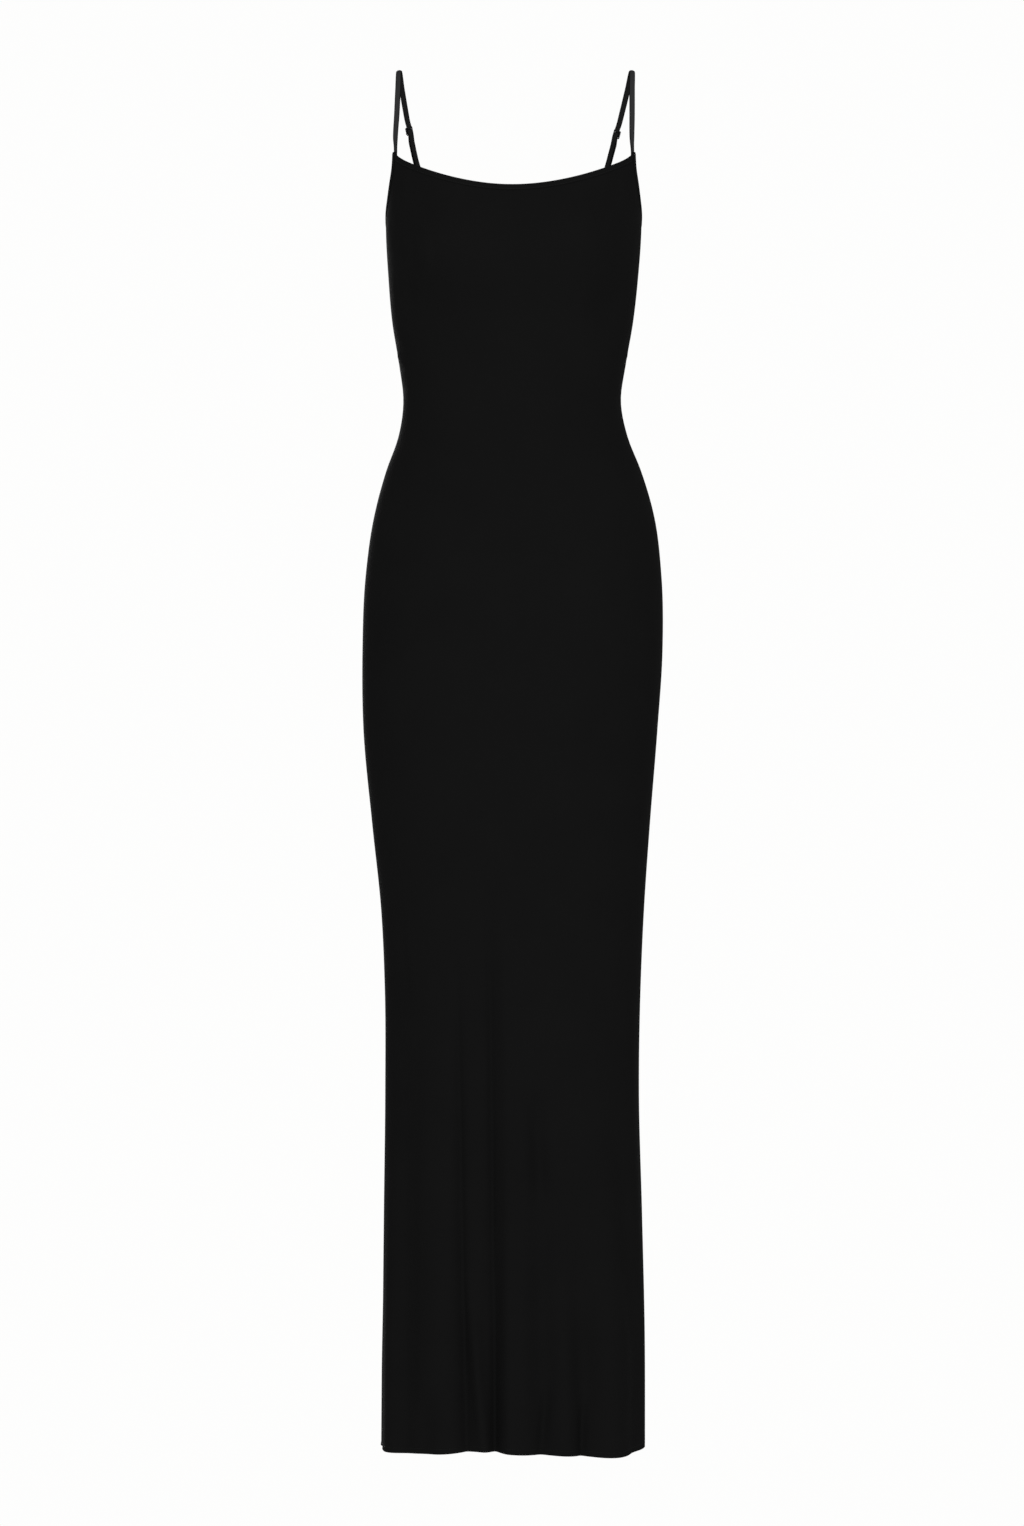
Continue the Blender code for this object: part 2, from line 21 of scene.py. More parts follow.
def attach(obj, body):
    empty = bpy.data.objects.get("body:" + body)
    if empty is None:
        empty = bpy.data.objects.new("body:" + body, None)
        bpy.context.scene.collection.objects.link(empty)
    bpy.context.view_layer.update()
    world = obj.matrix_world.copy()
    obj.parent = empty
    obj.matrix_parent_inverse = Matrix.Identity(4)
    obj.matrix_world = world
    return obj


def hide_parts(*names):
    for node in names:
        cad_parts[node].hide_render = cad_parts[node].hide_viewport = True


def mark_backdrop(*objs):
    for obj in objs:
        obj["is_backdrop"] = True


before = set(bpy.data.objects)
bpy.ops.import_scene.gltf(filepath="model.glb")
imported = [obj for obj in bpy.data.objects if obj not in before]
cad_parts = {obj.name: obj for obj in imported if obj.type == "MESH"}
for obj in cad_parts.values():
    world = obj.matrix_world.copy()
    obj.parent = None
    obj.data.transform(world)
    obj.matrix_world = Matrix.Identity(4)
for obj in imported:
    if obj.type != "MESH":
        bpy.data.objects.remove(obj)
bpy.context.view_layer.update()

LOG = logging.getLogger("slip_dress")
MM = 0.001
BODY = "root"
CLOTH_MAP = "cloth"


class Section(NamedTuple):
    """A level cut through the dress: half widths to each side, depths to front and back."""

    height: float
    right: float
    left: float
    front: float
    back: float
    square: float


class Swell(NamedTuple):
    """A soft rise of the cloth over the figure, at a place on the front or back."""

    across: float
    height: float
    wide: float
    tall: float
    out: float


class Fold(NamedTuple):
    """A fold that runs up from the hem: its angles there and where it fades, and its depth."""

    hem_angle: float
    fade_angle: float
    fade_height: float
    spread: float
    out: float


class Crease(NamedTuple):
    """A trough or ridge from one place to another, bowed sideways and fading out at both ends.

    Soft is 1 for a round one, and less for one with a keener bottom.
    """

    from_angle: float
    from_height: float
    to_angle: float
    to_height: float
    bow: float
    wide: float
    out: float
    soft: float = 1.0


class RoutePoint(NamedTuple):
    """A point on a strap's way over the shoulder. Facing is the strap's outward side there."""

    right: float
    left: float
    y: float
    z: float
    facing: tuple


def table(kind: Callable, *rows: tuple) -> tuple:
    """A table whose rows are all of one kind."""
    return tuple(kind(*row) for row in rows)


SECTIONS = table(
    Section,
    (-85, 130.5, 135.0, 66, 76, 2.3),
    (-125, 131.0, 135.2, 80, 83, 2.3),
    (-165, 132.0, 135.5, 88, 88, 2.3),
    (-215, 129.5, 132.2, 90, 86, 2.3),
    (-265, 125.2, 126.6, 86, 78, 2.3),
    (-309, 118.0, 118.9, 82, 70, 2.25),
    (-348, 113.7, 114.0, 81, 67, 2.2),
    (-385, 119.0, 121.2, 86, 72, 2.2),
    (-420, 131.5, 135.0, 92, 83, 2.2),
    (-466, 143.9, 148.5, 98, 97, 2.2),
    (-530, 153.2, 156.5, 100, 107, 2.2),
    (-610, 156.6, 157.6, 98, 108, 2.25),
    (-690, 155.6, 152.4, 96, 100, 2.3),
    (-790, 146.4, 144.4, 93, 90, 2.3),
    (-880, 137.0, 138.2, 89, 85, 2.3),
    (-965, 133.1, 134.5, 86, 82, 2.3),
    (-1070, 132.7, 132.9, 84, 81, 2.3),
    (-1200, 134.1, 136.2, 82, 82, 2.3),
    (-1330, 134.9, 139.3, 81, 83, 2.3),
    (-1450, 135.7, 139.6, 80, 84, 2.3),
)
FRONT_SWELLS = table(
    Swell,
    (-78, -188, 42, 40, 21),
    (79, -188, 42, 40, 21),
    (0, -188, 28, 42, 5),
    (-84, -136, 22, 16, -2),
    (86, -136, 22, 16, -2),
    (0, -455, 50, 55, 4),
    (0, -590, 30, 50, -3),
    (-88, -560, 40, 60, 3),
    (90, -560, 40, 60, 3),
    (-62, -720, 40, 110, 3),
    (64, -720, 40, 110, 3),
)
BACK_SWELLS = table(
    Swell,
    (-62, -195, 34, 50, 5),
    (62, -195, 34, 50, 5),
    (0, -290, 16, 95, -5),
    (-66, -590, 46, 62, 14),
    (66, -590, 46, 62, 14),
    (-60, -705, 42, 45, -3),
    (60, -705, 42, 45, -3),
)
FOLDS = table(
    Fold,
    (-67, -64, -1050, 7.0, 5),
    (-49, -54, -860, 6.5, -9),
    (-34.5, -33, -930, 7.5, 9),
    (-21, -20, -1060, 4.8, -10),
    (-14, -13, -1110, 4.0, 4),
    (-6.5, -4, -880, 4.8, -14),
    (3, 3, -820, 6.0, 10),
    (13, 10, -1060, 5.0, -7),
    (23, 20, -1100, 6.0, 5),
    (33, 28, -1200, 5.0, -9),
    (49, 42, -980, 8.5, 8),
    (66, 52, -1040, 6.5, -8),
    (104, 108, -1120, 7.0, -5),
    (118, 121, -960, 7.5, 8),
    (131, 134, -880, 6.0, -10),
    (146, 146, -1020, 7.0, 8),
    (159, 157, -850, 6.0, -11),
    (174, 172, -900, 7.5, 9),
    (-172, -171, -1080, 5.0, -8),
    (-160, -162, -980, 7.0, 8),
    (-147, -150, -830, 6.5, -12),
    (-132, -133, -1000, 7.5, 9),
    (-117, -121, -1060, 6.0, -8),
    (-103, -106, -1150, 7.0, 4),
)
FOLD_RIPENS = 0.75  # the share of its length over which a fold grows to its full depth

# Pulls at the waist and seams, drags on the thigh, and dents that the hem's stitching draws in.
CREASES = table(
    Crease,
    (-89, -284, -66, -300, 2.0, 3.6, -1.5),
    (-89, -300, -70, -309, 1.5, 3.0, 1.1),
    (-89, -312, -62, -316, -1.5, 3.4, -1.4),
    (-89, -331, -72, -338, -1.0, 3.2, -0.9),
    (89, -282, 68, -296, -2.0, 3.4, -1.3),
    (89, -297, 74, -304, 1.0, 3.0, 1.0),
    (89, -309, 66, -312, 1.5, 3.2, -1.1),
    (89, -328, 76, -331, 0.5, 3.0, -0.7),
    (-62, -868, -54, -1002, 2.0, 6.5, -1.3),
    (-54, -905, -48, -985, 1.0, 5.0, 0.8),
    (64, -880, 58, -960, -2.0, 6.0, -0.7),
    (65.5, -960, 66, -1640, 0.0, 15.0, 5.0),
    (-49.8, -887, -46.8, -1640, 1.0, 7.9, -2.3),
    (-45.2, -1006, -44.5, -1640, 0.0, 10.2, 6.5),
    (-51.3, -962, -48.8, -1640, 0.0, 8.8, 5.5),
    (-25.5, -918, -19.0, -1600, -1.0, 4.1, -7.9, 0.65),
    (-21.4, -1141, -25.0, -1640, 0.0, 8.8, 7.4),
    (-20.6, -1246, -2.8, -1640, 0.0, 4.5, 5.4),
    (-10.5, -848, -6.6, -1660, 0.5, 3.0, -6.4, 0.65),
    (-6.7, -1087, -12.7, -1660, 0.0, 3.9, 2.8),
    (-8.5, -1015, -1.9, -1660, 0.0, 7.7, 7.0),
    (-3.2, -820, -2.4, -1680, 0.5, 5.3, 5.7),
    (10.4, -1068, 12.4, -1190, 0.0, 6.6, -6.5),
    (15.4, -1370, 11.6, -1462, 0.0, 3.4, -3.9),
    (26.1, -1302, 32.5, -1500, 2.0, 6.2, -0.7, 0.8),
    (32.9, -1384, 31.8, -1466, 0.0, 3.4, -4.4),
    (-39.4, -1382, -40.2, -1464, 0.0, 10.4, -7.1),
    (-35, -268, -10, -282, 3.0, 10.0, -0.6),
    (36, -270, 12, -281, -3.0, 10.0, -0.6),
    (-26, -520, 22, -532, 4.0, 11.0, -0.9),
    (-75, -166, -52, -214, 4.0, 6.0, -1.0),
    (76, -168, 54, -212, -4.0, 6.0, -0.9),
    (-58, -128, -29, -150, -4.0, 13.0, -5.0),
    (60, -126, 36, -152, 5.0, 13.0, -5.0),
    (-53, -198, -39, -193, -2.0, 13.0, 3.0),
    (-72, -252, -28, -240, -6.0, 15.0, -5.0),
    (66, -232, 33, -252, 10.0, 15.0, -5.0),
    (-61, -165, -57, -262, 2.0, 7.0, -1.8),
    (91, -290, 118, -304, 2.0, 4.0, -1.4),
    (91, -306, 112, -318, 1.5, 3.5, 1.0),
    (91, -320, 126, -334, 2.0, 4.5, -1.5),
    (269, -288, 244, -300, -2.0, 4.0, -1.3),
    (269, -303, 250, -314, -1.0, 3.5, 1.0),
    (269, -318, 236, -330, -2.0, 4.5, -1.6),
    (152, -352, 206, -347, 5.0, 5.0, -1.6),
    (146, -368, 199, -365, 5.5, 4.5, 1.3),
    (158, -381, 212, -379, 5.0, 5.5, -1.5),
    (162, -398, 196, -396, 3.5, 6.0, 0.9),
    (112, -660, 140, -742, 6.0, 9.0, -1.6),
    (248, -656, 221, -738, -6.0, 9.0, -1.6),
    (128, -690, 150, -800, 5.0, 8.0, -1.2),
    (232, -694, 208, -806, -5.0, 8.0, -1.2),
    (178, -640, 181, -790, 1.5, 8.0, -2.0),
    (120, -172, 134, -226, 3.0, 6.0, -1.0),
    (240, -170, 227, -222, -3.0, 6.0, -1.0),
)
DEGREE_RUN = 2.15  # millimetres along the cloth for a degree round the body
CREASE_FADE = 0.8  # how gently a crease fades at its ends: 1 for slowly, less for later
SWELL_FADE = 6  # how close to the side seams the swells keep their height
READ_STEP = 0.5  # how far to each side a slope is read

# The finished edges: angle and height round the hem, and round an armhole from its front strap.
HEM = (
    (-180, -1441), (-130, -1445), (-90, -1444.8), (-60, -1444), (-35, -1441.5),
    (-12, -1438.5), (3, -1440.5), (23, -1443), (48, -1446.5), (66, -1445),
    (90, -1441.5), (130, -1443), (180, -1441),
)
ARMHOLE = (
    (72.3, -88.6), (73.6, -106), (77.6, -122), (84.0, -142),
    (92.5, -156), (105.0, -163), (121.0, -160.5), (137.3, -151),
)
NECK_FRONT_CENTRE, NECK_FRONT_STRAP, NECK_FRONT_RISE = -129.3, -93.6, 1.98
NECK_PEAK, NECK_PEAK_KEEN = 5.0, 24  # how far a strap draws the front neckline up, and how locally
NECK_FRONT_TOP = NECK_FRONT_STRAP + NECK_PEAK
NECK_BACK_CENTRE, NECK_BACK_STRAP, NECK_BACK_RISE = -174.0, -151.0, 2.0
STRAP_ANGLE_FRONT, STRAP_ANGLE_BACK = 70.8, 137.3
YOKE_LEVEL = -140.0  # the level whose girth stands for the cloth's at the neckline and armholes
SEAM = 0.3  # the gap kept between neighbouring pieces
SEARCH_STEPS = 1200  # how finely the armhole is searched, of which a fifth near its front strap
SAMPLES = 400  # how finely a strap is searched for its slider's height

# How the turnings of the side seams come free of the cloth: held up to this height above the hem,
# loose this much further up, and never closer than this share.
SEAM_HELD, SEAM_LOOSENS, SEAM_LEAST = 8.0, 18.0, 0.05

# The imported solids' own sizes, which the straps and fittings keep to.
BINDING_WIDTH, BINDING_WALL, TUCK_GAP = 6.0, 1.8, 0.55
STRAP_WIDTH, STRAP_WALL, STRAP_TAIL = 5.5, 1.0, 8.5

# The real elastic: its width, how far apart its two faces lie on its map, how far its edges curl
# down over the shoulder and how far along, the points round it, how its edges and faces bulge,
# and its ribs.
ELASTIC_WIDTH, FACE_APART = 5.9, 100.0
SHOULDER_CURL, SHOULDER_REACH = 1.1, 26.0
ELASTIC_POINTS, EDGE_ROUND, FACE_FLAT = 32, 0.55, 0.32
RIB_DEPTH, RIB_PITCH = 0.13, 1.1

# The fittings. The slider's height is for the sign of X on its side.
SLIDER_WALL, SLIDER_RAIL, SLIDER_END_BAR, SLIDER_MIDDLE_BAR = 1.0, 1.1, 1.0, 0.9
SLIDER_SLOT, SLIDER_SIDE_GAP = 2.9, 0.35
RING_WIRE, RING_BAR, RING_BEND, RING_ABOVE_EDGE = 0.6, 5.9, 2.2, 6.0
SLIDER_HEIGHT = {-1: -56.2, 1: -59.4}

# How far from the slider and the ring they hold the strap straight, and over how far it eases in.
SLIDER_STRAIGHT, SLIDER_EASE = 14.0, 7.0
RING_STRAIGHT, RING_EASE = 8.0, 4.0

# The strap's rows: how many in each run, and how far short of a bend the even ones stop.
TAIL_ROWS, STRAP_ROWS, LOOP_ROWS, TURN_STEPS = 5, 70, 12, 14
TAIL_GAP, BEFORE_SLIDER, AFTER_SLIDER, BEFORE_RING = 3.0, 13.0, 8.0, 6.0
LEAD_IN = ((-9, -0.4), (-6.5, -1.0))  # the strap's dip on its way under the slider's end bar
SHORT_OF_END, PAST_BAR = 0.5, 0.4  # where the strap's end bends in towards the middle bar
LOOP_SPREAD = 0.6  # how far the outer run of the loop stands off, as a share of the ring's turn
SHOULDER_KEY = 6  # the shoulder's top among a strap's keys: three in the tail, then the route

# The ring's tab: how its leg starts and ends, and how far it opens before the ring.
TAB_START, TAB_BEND, TAB_OPENS, TAB_SPREAD = 2.5, 5.0, 2.5, 0.3

# Sewing: where a binding's stitches start, how high stitches stand, how finely their lines are
# laid, and a bar tack's half width, points, distance below the edge and lift.
SEWN_FROM, STITCH_LIFT, HEM_STITCH_LIFT = 0.012, 0.08, 0.05
BINDING_POINTS, HEM_POINTS = 300, 700
TACK_HALF, TACK_POINTS, TACK_DROP, TACK_LIFT = 2.3, 12, 3.0, 1.0
ROUTE = table(
    RoutePoint,
    (121.7, 125.2, -31.5, -76, (0.58, -0.80, 0.05)),
    (120.2, 125.3, -31.5, -50, (0.30, -0.93, 0.15)),
    (119.2, 125.5, -25, -24, (0.16, -0.75, 0.62)),
    (118.6, 126.0, 0, STRAP_WALL / 2, (0.10, 0.0, 1.0)),
    (116.3, 122.3, 29, -15, (0.22, 0.70, 0.70)),
    (109.2, 112.2, 51, -55, (0.48, 0.80, 0.28)),
    (102.9, 104.1, 62, -85, (0.64, 0.76, 0.12)),
)


class Side(Enum):
    """The wearer's two sides, with the sign of X on each."""

    RIGHT = -1
    LEFT = 1

    @property
    def word(self) -> str:
        """The side's name as pieces carry it."""
        return self.name.lower()


class Half(Enum):
    """The two main pieces of cloth."""

    FRONT = "front"
    BACK = "back"


def smooth_curve(places: Sequence, values: Sequence, at: Array | float) -> Array:
    """A smooth curve through the values at rising places.

    Args:
        places: where the values are known.
        values: a value, or a row of values, for each place.
        at: where to read the curve.

    Returns:
        The curve's value, or row of values, for each place asked for.
    """
    places, values, at = (np.asarray(a, float) for a in (places, values, at))
    slopes = np.gradient(values, places, axis=0)
    i = np.clip(np.searchsorted(places, at) - 1, 0, len(places) - 2)
    width = places[i + 1] - places[i]
    t = np.clip((at - places[i]) / width, 0, 1)
    if values.ndim > 1:
        width, t = width[..., None], t[..., None]
    start = values[i] * (1 + 2 * t) * (1 - t) ** 2 + slopes[i] * width * t * (1 - t) ** 2
    end = values[i + 1] * t * t * (3 - 2 * t) + slopes[i + 1] * width * t * t * (t - 1)
    return start + end


def running_length(points: Array) -> Array:
    """The distance along a row of points, from the first to each."""
    steps = np.linalg.norm(np.diff(points, axis=0), axis=-1)
    return np.concatenate([np.zeros((1, *steps.shape[1:])), np.cumsum(steps, axis=0)])


def together(*values: Array | float) -> Sequence:
    """Values as arrays of one shape."""
    return np.broadcast_arrays(*(np.asarray(v, float) for v in values))


def unit(ways: Array) -> Array:
    """Directions brought to a length of 1."""
    return ways / np.linalg.norm(ways, axis=-1, keepdims=True)


class Figure:
    """The worn form that all the cloth lies on, with its edges."""

    def __init__(self) -> None:
        """Prepares the tables that the edges are read from."""
        self.section_rows = np.array(SECTIONS, float)[::-1]
        self.hem_rows = np.array(HEM, float)
        self.round_angles = np.arange(0, 180.1, 0.5)
        self.round_lengths = running_length(self.plain(self.round_angles, YOKE_LEVEL))
        rows = np.array(ARMHOLE, float)
        across = np.interp(rows[:, 0], self.round_angles, self.round_lengths)
        self.armhole_flat = np.column_stack([across, rows[:, 1]])
        self.armhole_places = running_length(self.armhole_flat)
        self.armhole_end = float(self.armhole_places[-1])
        self.search = np.linspace(0.01, self.armhole_end - 0.01, SEARCH_STEPS)

    @staticmethod
    def swells(across: Array, height: Array, rises: Sequence[Swell]) -> Array:
        """How far the figure's swells push the cloth out at these places.

        Args:
            across: distances to the side of the centre.
            height: heights, in millimetres.
            rises: the swells.

        Returns:
            Distances out, in millimetres.
        """
        total = np.zeros(np.broadcast(across, height).shape)
        for s in rises:
            far = ((across - s.across) / s.wide) ** 2 + ((height - s.height) / s.tall) ** 2
            total = total + s.out * np.exp(-far / 2)
        return total

    @staticmethod
    def folds(angle: Array, height: Array) -> Array:
        """How far the long folds move the cloth out at these places.

        Args:
            angle: angles round the body, in degrees.
            height: heights, in millimetres.

        Returns:
            Distances out, in millimetres.
        """
        total = np.zeros(np.broadcast(angle, height).shape)
        for fold in FOLDS:
            length = FOLD_RIPENS * (fold.fade_height - HEM[0][1])
            ripe = np.clip((fold.fade_height - height) / length, 0, 1)
            centre = fold.fade_angle + (fold.hem_angle - fold.fade_angle) * ripe
            away = (angle - centre + 180) % 360 - 180
            depth = fold.out * ripe * ripe * (3 - 2 * ripe)
            total = total + depth * np.exp(-((away / fold.spread) ** 2) / 2)
        return total

    @staticmethod
    def creases(angle: Array, height: Array) -> Array:
        """How far the small creases move the cloth out at these places.

        Args:
            angle: angles round the body, in degrees.
            height: heights, in millimetres.

        Returns:
            Distances out, in millimetres.
        """
        total = np.zeros(np.broadcast(angle, height).shape)
        for c in CREASES:
            u = ((angle - c.from_angle + 180) % 360 - 180) * DEGREE_RUN
            v = height - c.from_height
            run, fall = (c.to_angle - c.from_angle) * DEGREE_RUN, c.to_height - c.from_height
            length = math.hypot(run, fall)
            along = (u * run + v * fall) / length**2
            lens = np.sin(np.pi * np.clip(along, 0, 1))
            aside = (v * run - u * fall) / length - c.bow * lens
            depth = c.out * lens**CREASE_FADE
            total = total + depth * np.exp(-(((aside / c.wide) ** 2 / 2) ** c.soft))
        return total

    def outward(self, angle: Array, height: Array) -> Array:
        """The level directions that point out of the figure, before swells and folds."""
        return self._form(angle, height)[1]

    def plain(self, angle: Array, height: Array) -> Array:
        """Points on the form without its small creases, in millimetres.

        Args:
            angle: angles round the body, in degrees.
            height: heights, in millimetres.

        Returns:
            An array of points.
        """
        angle, height = together(angle, height)
        point, way = self._form(angle, height)
        return point + way * self.folds(angle, height)[..., None]

    def cloth(self, angle: Array, height: Array, out: Array | float = 0.0) -> Array:
        """Points on the middle of the cloth.

        Args:
            angle: angles round the body, in degrees.
            height: heights, in millimetres.
            out: how far to move each point out, in millimetres.

        Returns:
            An array of points, in millimetres.
        """
        angle, height, out = together(angle, height, out)
        point, way = self._form(angle, height)
        bend = self.folds(angle, height) + self.creases(angle, height)
        return point + way * (bend + out)[..., None]

    def _form(self, angle: Array, height: Array) -> tuple[Array, Array]:
        """The figure's points with its swells, and the level directions out of it.

        Args:
            angle: angles round the body, in degrees.
            height: heights, in millimetres.

        Returns:
            The points, and the directions.
        """
        angle, height = together(angle, height)
        cut = smooth_curve(self.section_rows[:, 0], self.section_rows, height)
        _, right, left, deep_front, deep_back, square = np.moveaxis(cut, -1, 0)
        s, c = np.sin(np.radians(angle)), np.cos(np.radians(angle))
        front = c > 0
        half, depth = np.where(s > 0, left, right), np.where(front, deep_front, deep_back)
        share = np.clip(1 - np.abs(s) ** square, 0, None) ** (1 / square)
        x = half * s
        swell = np.where(front, *(self.swells(x, height, t) for t in (FRONT_SWELLS, BACK_SWELLS)))
        y = depth * share + swell * (1 - np.abs(s) ** SWELL_FADE)
        point = np.stack([x, np.where(front, -y, y), height], axis=-1)
        level = np.stack(
            [
                np.copysign(np.abs(s) ** (square - 1) / half, s),
                np.copysign(share ** (square - 1) / depth, -c),
                np.zeros_like(x),
            ],
            axis=-1,
        )
        return point, unit(level)

    def hem(self, angle: Array) -> Array:
        """The hem's height at these angles."""
        turned = (np.asarray(angle, float) + 180) % 360 - 180
        return smooth_curve(self.hem_rows[:, 0], self.hem_rows[:, 1], turned)

    @staticmethod
    def neck(angle: Array) -> Array:
        """The height of the finished neckline edge at these angles.

        Args:
            angle: angles round the body, in degrees.

        Returns:
            Heights, in millimetres.
        """
        angle = np.asarray(angle, float)
        front = np.cos(np.radians(angle)) > 0
        centre, strap, rise, widest = (
            np.where(front, *pair)
            for pair in (
                (NECK_FRONT_CENTRE, NECK_BACK_CENTRE),
                (NECK_FRONT_STRAP, NECK_BACK_STRAP),
                (NECK_FRONT_RISE, NECK_BACK_RISE),
                (STRAP_ANGLE_FRONT, STRAP_ANGLE_BACK),
            )
        )
        share = np.abs(np.sin(np.radians(angle)) / np.sin(np.radians(widest)))
        return centre + (strap - centre) * share**rise + front * NECK_PEAK * share**NECK_PEAK_KEEN

    def neck_drop(self, angle: Array, width: Array | float) -> Array:
        """How far down a band of this width reaches below the sloping neckline.

        Args:
            angle: angles round the body, in degrees.
            width: the band's width.

        Returns:
            Distances down, in millimetres.
        """
        beside = (angle - READ_STEP, angle + READ_STEP)
        before, after = (self.plain(a, YOKE_LEVEL) for a in beside)
        run = np.linalg.norm(after - before, axis=-1)
        return width * np.hypot(run, self.neck(beside[1]) - self.neck(beside[0])) / run

    def armhole(self, place: Array, inset: Array | float) -> tuple[Array, Array]:
        """Places along the left armhole's edge, moved into the cloth.

        Args:
            place: distances along the edge from the front strap.
            inset: how far to move in, in millimetres.

        Returns:
            The angles and the heights of the places.
        """
        place, inset = together(place, inset)
        edge, before, after = (
            smooth_curve(self.armhole_places, self.armhole_flat, place + step)
            for step in (0, -READ_STEP, READ_STEP)
        )
        along = after - before
        inward = unit(np.stack([along[..., 1], -along[..., 0]], axis=-1))
        inward[place <= 0] = (-1, 0)
        inward[place >= self.armhole_end] = (0, -1)
        moved = edge + inward * inset[..., None]
        return np.interp(moved[..., 0], self.round_lengths, self.round_angles), moved[..., 1]

    def corner(self, side_inset: float, neck_inset: float) -> float:
        """Where on the armhole a line inside its edge meets a line below the front neckline.

        Args:
            side_inset: the line's distance inside the armhole's edge.
            neck_inset: the line's distance below the neckline.

        Returns:
            The distance along the armhole from the front strap.
        """
        places = self.search[: SEARCH_STEPS // 5]
        angle, height = self.armhole(places, side_inset)
        above = height - self.neck(angle) + self.neck_drop(angle, neck_inset)
        return float(np.interp(0, -above, places))

    def underarm(self, inset: float) -> float:
        """The place on the armhole where a line inside its edge crosses the side seam."""
        return float(np.interp(90, self.armhole(self.search, inset)[0], self.search))

    def even_angles(self, first: float, last: float, count: int) -> Array:
        """Angles from first to last, within one half, at even distances along the cloth.

        Args:
            first: the first angle.
            last: the last angle.
            count: how many angles.

        Returns:
            The angles.
        """
        ends = [math.copysign(self.run_to(abs(a)), a) for a in (first, last)]
        lengths = np.linspace(*ends, count)
        angles = np.interp(np.abs(lengths), self.round_lengths, self.round_angles)
        return np.copysign(angles, lengths)

    def run_to(self, angle: float) -> float:
        """The distance along the cloth from the front centre to an angle, at the yoke's level."""
        return float(np.interp(angle, self.round_angles, self.round_lengths))


class Tree:
    """A material under construction, with short calls to add and join its nodes."""

    def __init__(self, name: str) -> None:
        """Starts a material with its surface shader.

        Args:
            name: the material's name.
        """
        self.material = bpy.data.materials.new(name)
        self.material.use_nodes = True
        self.tree = self.material.node_tree
        self.shader = self.tree.nodes["Principled BSDF"]

    def add(self, kind: str, inputs: dict | None = None, **settings) -> Node:
        """Adds a node.

        Args:
            kind: the node's type name after "ShaderNode".
            inputs: a value or a socket for each input, by name or index.
            **settings: the node's own properties.

        Returns:
            The node.
        """
        node = self.tree.nodes.new("ShaderNode" + kind)
        for name, value in settings.items():
            setattr(node, name, value)
        for key, value in (inputs or {}).items():
            self.join(node, key, value)
        return node

    def join(self, node: Node, key: str | int, value: object) -> None:
        """Sets an input, or links a socket to it.

        Args:
            node: the node.
            key: the input's name or index.
            value: a value or a socket.
        """
        if isinstance(value, NodeSocket):
            self.tree.links.new(value, node.inputs[key])
        else:
            node.inputs[key].default_value = value

    def sum(self, operation: str, *values: object) -> NodeSocket:
        """A number worked out from others by a Math node."""
        return self.add("Math", dict(enumerate(values)), operation=operation).outputs[0]

    def place(self) -> NodeSocket:
        """The place of each point in the object's own space."""
        return self.add("TexCoord").outputs["Object"]

    def cloth_place(self) -> Sequence:
        """The place of each point on the flat cloth, across it and along it."""
        place = self.add("UVMap", uv_map=CLOTH_MAP).outputs[0]
        return self.add("SeparateXYZ", {0: place}).outputs[:2]

    def noise(self, scale: float, detail: float, rough: float = 0.5) -> NodeSocket:
        """A soft random pattern over the object's own place in space.

        Args:
            scale: the pattern's scale.
            detail: how many finer layers it has.
            rough: how strong those layers are.

        Returns:
            The pattern, from 0 to 1.
        """
        look = {"Vector": self.place(), "Scale": scale, "Detail": detail, "Roughness": rough}
        return self.add("TexNoise", look).outputs["Fac"]

    def blend(self, share: object, first: object, second: object) -> NodeSocket:
        """A colour between two, each a colour or a socket, by a share from 0 to 1.

        Args:
            share: the share of the second.
            first: the first colour.
            second: the second colour.

        Returns:
            The colour.
        """
        first, second = ((*c, 1) if isinstance(c, tuple) else c for c in (first, second))
        return self.add("Mix", {0: share, 6: first, 7: second}, data_type="RGBA").outputs[2]

    def eased(self, value: object, start: float, stop: float) -> NodeSocket:
        """A share that rises softly from 0 to 1 as a value goes from start to stop.

        Args:
            value: the value.
            start: where the share is 0.
            stop: where it is 1.

        Returns:
            The share.
        """
        span = {0: value, 1: start, 2: stop, 3: 0.0, 4: 1.0}
        return self.add("MapRange", span, interpolation_type="SMOOTHSTEP").outputs[0]

    def ranged(self, value: object, low: float, high: float) -> NodeSocket:
        """A value from 0 to 1 brought to lie between low and high."""
        return self.add("MapRange", {0: value, 3: low, 4: high}).outputs[0]

    def surface(self, **values: object) -> None:
        """Sets the surface shader's inputs, each named with underscores for spaces.

        Args:
            **values: a value or a socket for each input.
        """
        for name, value in values.items():
            self.join(self.shader, name.replace("_", " "), value)

    def relief(self, height: object, depth: float, strength: float) -> None:
        """Raises the surface by a pattern, to a depth in metres."""
        bump = self.add("Bump", {"Strength": strength, "Distance": depth, "Height": height})
        self.surface(Normal=bump.outputs[0])


